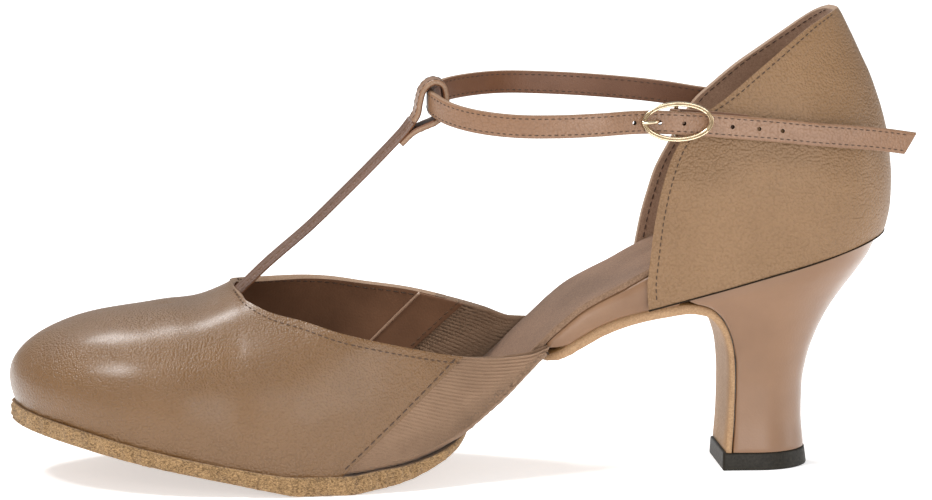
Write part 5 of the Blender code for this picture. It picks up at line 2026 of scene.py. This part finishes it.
@dataclass
class Studio:
    """The pale floor, the soft lights and the camera of the photograph."""

    turn: float = 5.5
    tilt: float = 8.5
    distance: float = 1500.0
    target: tuple[float, float, float] = (-80.69, -0.04, 59.36)
    focal_pixels: float = 5555.6
    image_width: float = 932.0
    sensor: float = 36.0
    room: float = 0.4
    floor_half: float = 6000.0
    floor_z: float = -0.05
    lamps: tuple[tuple[str, tuple[float, float, float], float, float], ...] = (
        ("key", (-800.0, -430.0, 1230.0), 330.0, 13.0),
        ("top", (-480.0, 640.0, 1250.0), 300.0, 9.5),
        ("fill", (200.0, -1300.0, 200.0), 800.0, 10.0),
        ("rim", (1250.0, -120.0, 160.0), 500.0, 3.6),
    )

    def build(self, finishes: Finishes) -> None:
        """Set up the whole studio.

        Args:
            finishes: The materials, the floor's among them.
        """
        self._floor(finishes["floor"])
        self._lights()
        self._camera()

    def _floor(self, finish: Material) -> None:
        """Lay the floor under the shoe."""
        half = self.floor_half
        corners = [(x, y, self.floor_z)
                   for x, y in ((-half, -half), (half, -half), (half, half), (-half, half))]
        floor = build_mesh("studio_floor", corners, [(0, 1, 2, 3)], [finish])

    def _lights(self) -> None:
        """Hang the soft lights and light the room evenly."""
        world = bpy.data.worlds.new("Studio")
        world.use_nodes = True
        room = world.node_tree.nodes["Background"]
        room.inputs["Color"].default_value = (1.0, 1.0, 1.0, 1.0)
        room.inputs["Strength"].default_value = self.room
        bpy.context.scene.world = world
        for name, place, size, power in self.lamps:
            lamp = bpy.data.lights.new(name, "AREA")
            lamp.shape = "SQUARE"
            lamp.size = size * MM
            lamp.energy = power
            shown = bpy.data.objects.new(name, lamp)
            shown.location = Vector(place) * MM
            aim = Vector(self.target) * MM - shown.location
            shown.rotation_euler = aim.to_track_quat("-Z", "Y").to_euler()
            bpy.context.scene.collection.objects.link(shown)

    def _camera(self) -> None:
        """Stand the camera where the photograph was taken."""
        turn, tilt = math.radians(self.turn), math.radians(self.tilt)
        look = Vector((math.sin(turn) * math.cos(tilt), math.cos(turn) * math.cos(tilt), -math.sin(tilt)))
        right = Vector((math.cos(turn), -math.sin(turn), 0.0))
        up = right.cross(look)
        camera = bpy.data.cameras.new("photo_camera")
        camera.sensor_width = self.sensor
        camera.lens = self.sensor * self.focal_pixels / self.image_width
        camera.clip_end = 100.0
        shown = bpy.data.objects.new("photo_camera", camera)
        place = (Vector(self.target) - look * self.distance) * MM
        turned = Matrix((right, up, -look)).transposed().to_4x4()
        shown.matrix_world = Matrix.Translation(place) @ turned
        bpy.context.scene.collection.objects.link(shown)
        bpy.context.scene.camera = shown
        bpy.context.scene.view_settings.view_transform = "Standard"


FINISHES = {
    "pebbled": Finish("pebbled_leather", (0.176, 0.088, 0.031), (0.135, 0.066, 0.022), 0.31, Grain.PEBBLE,
        0.60, 0.19, specular=0.42, coat=0.27, coat_roughness=0.25),
    "pebbled_light": Finish("pebbled_leather_light", (0.250, 0.141, 0.066), (0.196, 0.107, 0.047), 0.38,
        Grain.PEBBLE, 0.68, 0.22, specular=0.38, coat=0.08, coat_roughness=0.3),
    "lining": Finish("dark_lining", (0.215, 0.110, 0.062), (0.140, 0.068, 0.037), 0.28, Grain.SMOOTH, 0.6,
        0.03),
    "heel_lining": Finish("suede_heel_lining", (0.40, 0.250, 0.165), (0.26, 0.155, 0.098), 0.9, Grain.NAP,
        0.5, 0.08, sheen=0.2),
    # Lighter than the lining: painted highlight on the glossy cord.
    "cord": Finish("lining_cord_painted_highlight", (0.40, 0.255, 0.175), (0.30, 0.180, 0.115), 0.22, Grain.SMOOTH, 0.6, 0.01,
        coat=0.6),
    "bar": Finish("t_bar_leather", (0.140, 0.070, 0.041), (0.098, 0.047, 0.027), 0.34, Grain.PEBBLE, 0.6,
        0.07, coat=0.3),
    # Paler than the leather: partly the raw edge's own colour, partly a painted highlight where the rim
    # catches light.
    "cut_edge_and_highlight": Finish("cut_edge_and_highlight", (0.36, 0.24, 0.16), (0.24, 0.15, 0.092), 0.5, Grain.NAP, 0.4, 0.03),
    "elastic": Finish("ribbed_elastic", (0.285, 0.178, 0.110), (0.200, 0.121, 0.073), 0.7, Grain.SMOOTH, 0.5,
        0.10, sheen=0.1, specular=0.3),
    "sock": Finish("suede_sock", (0.245, 0.138, 0.079), (0.150, 0.078, 0.042), 0.9, Grain.NAP, 0.5, 0.06,
        sheen=0.2, specular=0.25),
    "sock_edge": Finish("sock_edge", (0.25, 0.15, 0.09), (0.14, 0.08, 0.045), 0.8, Grain.NAP, 0.5, 0.06),
    "smooth_pink": Finish("smooth_board_cover", (0.240, 0.126, 0.063), (0.184, 0.093, 0.044), 0.36,
        Grain.SMOOTH, 0.7, 0.02, coat=0.15),
    "rough_suede": Finish("rough_suede", (0.260, 0.150, 0.072), (0.140, 0.074, 0.031), 0.95, Grain.NAP, 0.6,
        0.25, sheen=0.15, specular=0.2),
    "sole_side": Finish("sole_side", (0.56, 0.350, 0.165), (0.110, 0.058, 0.023), 0.92, Grain.NAP, 0.62, 0.6,
        sheen=0.15, stretch=1.6, specular=0.2),
    "sole_leather": Finish("sole_leather", (0.385, 0.213, 0.080), (0.275, 0.142, 0.047), 0.5, Grain.NAP, 0.7,
        0.06),
    "sole_leather_edge": Finish("sole_leather_edge", (0.46, 0.285, 0.150), (0.30, 0.172, 0.084), 0.6,
        Grain.NAP, 0.5, 0.12),
    "heel_cover": Finish("heel_cover", (0.240, 0.126, 0.063), (0.200, 0.102, 0.049), 0.28, Grain.SMOOTH, 0.6,
        0.015, coat=0.3),
    "rubber": Finish("dark_rubber", (0.020, 0.016, 0.010), (0.009, 0.007, 0.004), 0.45, Grain.NAP, 0.7, 0.05,
        specular=0.25),
    "strap": Finish("strap_leather", (0.262, 0.140, 0.076), (0.185, 0.094, 0.048), 0.32, Grain.PEBBLE, 0.7,
        0.08),
    "strap_edge": Finish("strap_edge", (0.33, 0.20, 0.12), (0.20, 0.115, 0.065), 0.5, Grain.NAP, 0.4, 0.03),
    "strap_back": Finish("strap_back", (0.165, 0.066, 0.026), (0.112, 0.042, 0.016), 0.45, Grain.SMOOTH, 0.5,
        0.03),
    # Near-black painted shade: the walls of the punched strap holes, and the painted shadow line at the heel
    # cup's foot.
    "hole": Finish("painted_hole_shade", (0.030, 0.018, 0.010), (0.012, 0.008, 0.005), 0.8, Grain.NAP, 0.3, 0.02,
        specular=0.1),
    "thread_tan": Finish("tan_thread", (0.150, 0.085, 0.045), (0.090, 0.048, 0.024), 0.7, Grain.NAP, 0.12,
        0.03),
    "thread_dark": Finish("dark_thread", (0.085, 0.045, 0.025), (0.045, 0.024, 0.013), 0.7, Grain.NAP, 0.12,
        0.03),
    "brass": Finish("pale_brass", (0.80, 0.67, 0.48), (0.70, 0.56, 0.38), 0.16, Grain.PLAIN, 1.0, 0.004,
        metallic=1.0, blotch=2.0),
    "groove": Finish("brass_groove", (0.30, 0.22, 0.13), (0.20, 0.14, 0.08), 0.25, Grain.PLAIN, 1.0, 0.004,
        metallic=1.0, blotch=2.0),
    "floor": Finish("pale_floor", (0.95, 0.95, 0.95), (0.93, 0.93, 0.93), 0.9, Grain.PLAIN, 1.0, 0.0,
        blotch=400.0, glow=0.55),
}


def main() -> None:
    """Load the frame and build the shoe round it."""
    logging.basicConfig(level=logging.INFO, format="%(message)s")
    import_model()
    effects = Effects()
    finishes = {key: finish.build(effects) for key, finish in FINISHES.items()}
    stitching = Stitching(finishes)
    last = Last()
    Studio().build(finishes)
    Upper(last, finishes, stitching, Webbing()).build()
    SoleUnit(last, finishes).build()
    HeelUnit(finishes).build()
    Straps(finishes, stitching).build()
    Buckle(finishes).build()


if __name__ == "__main__":
    main()
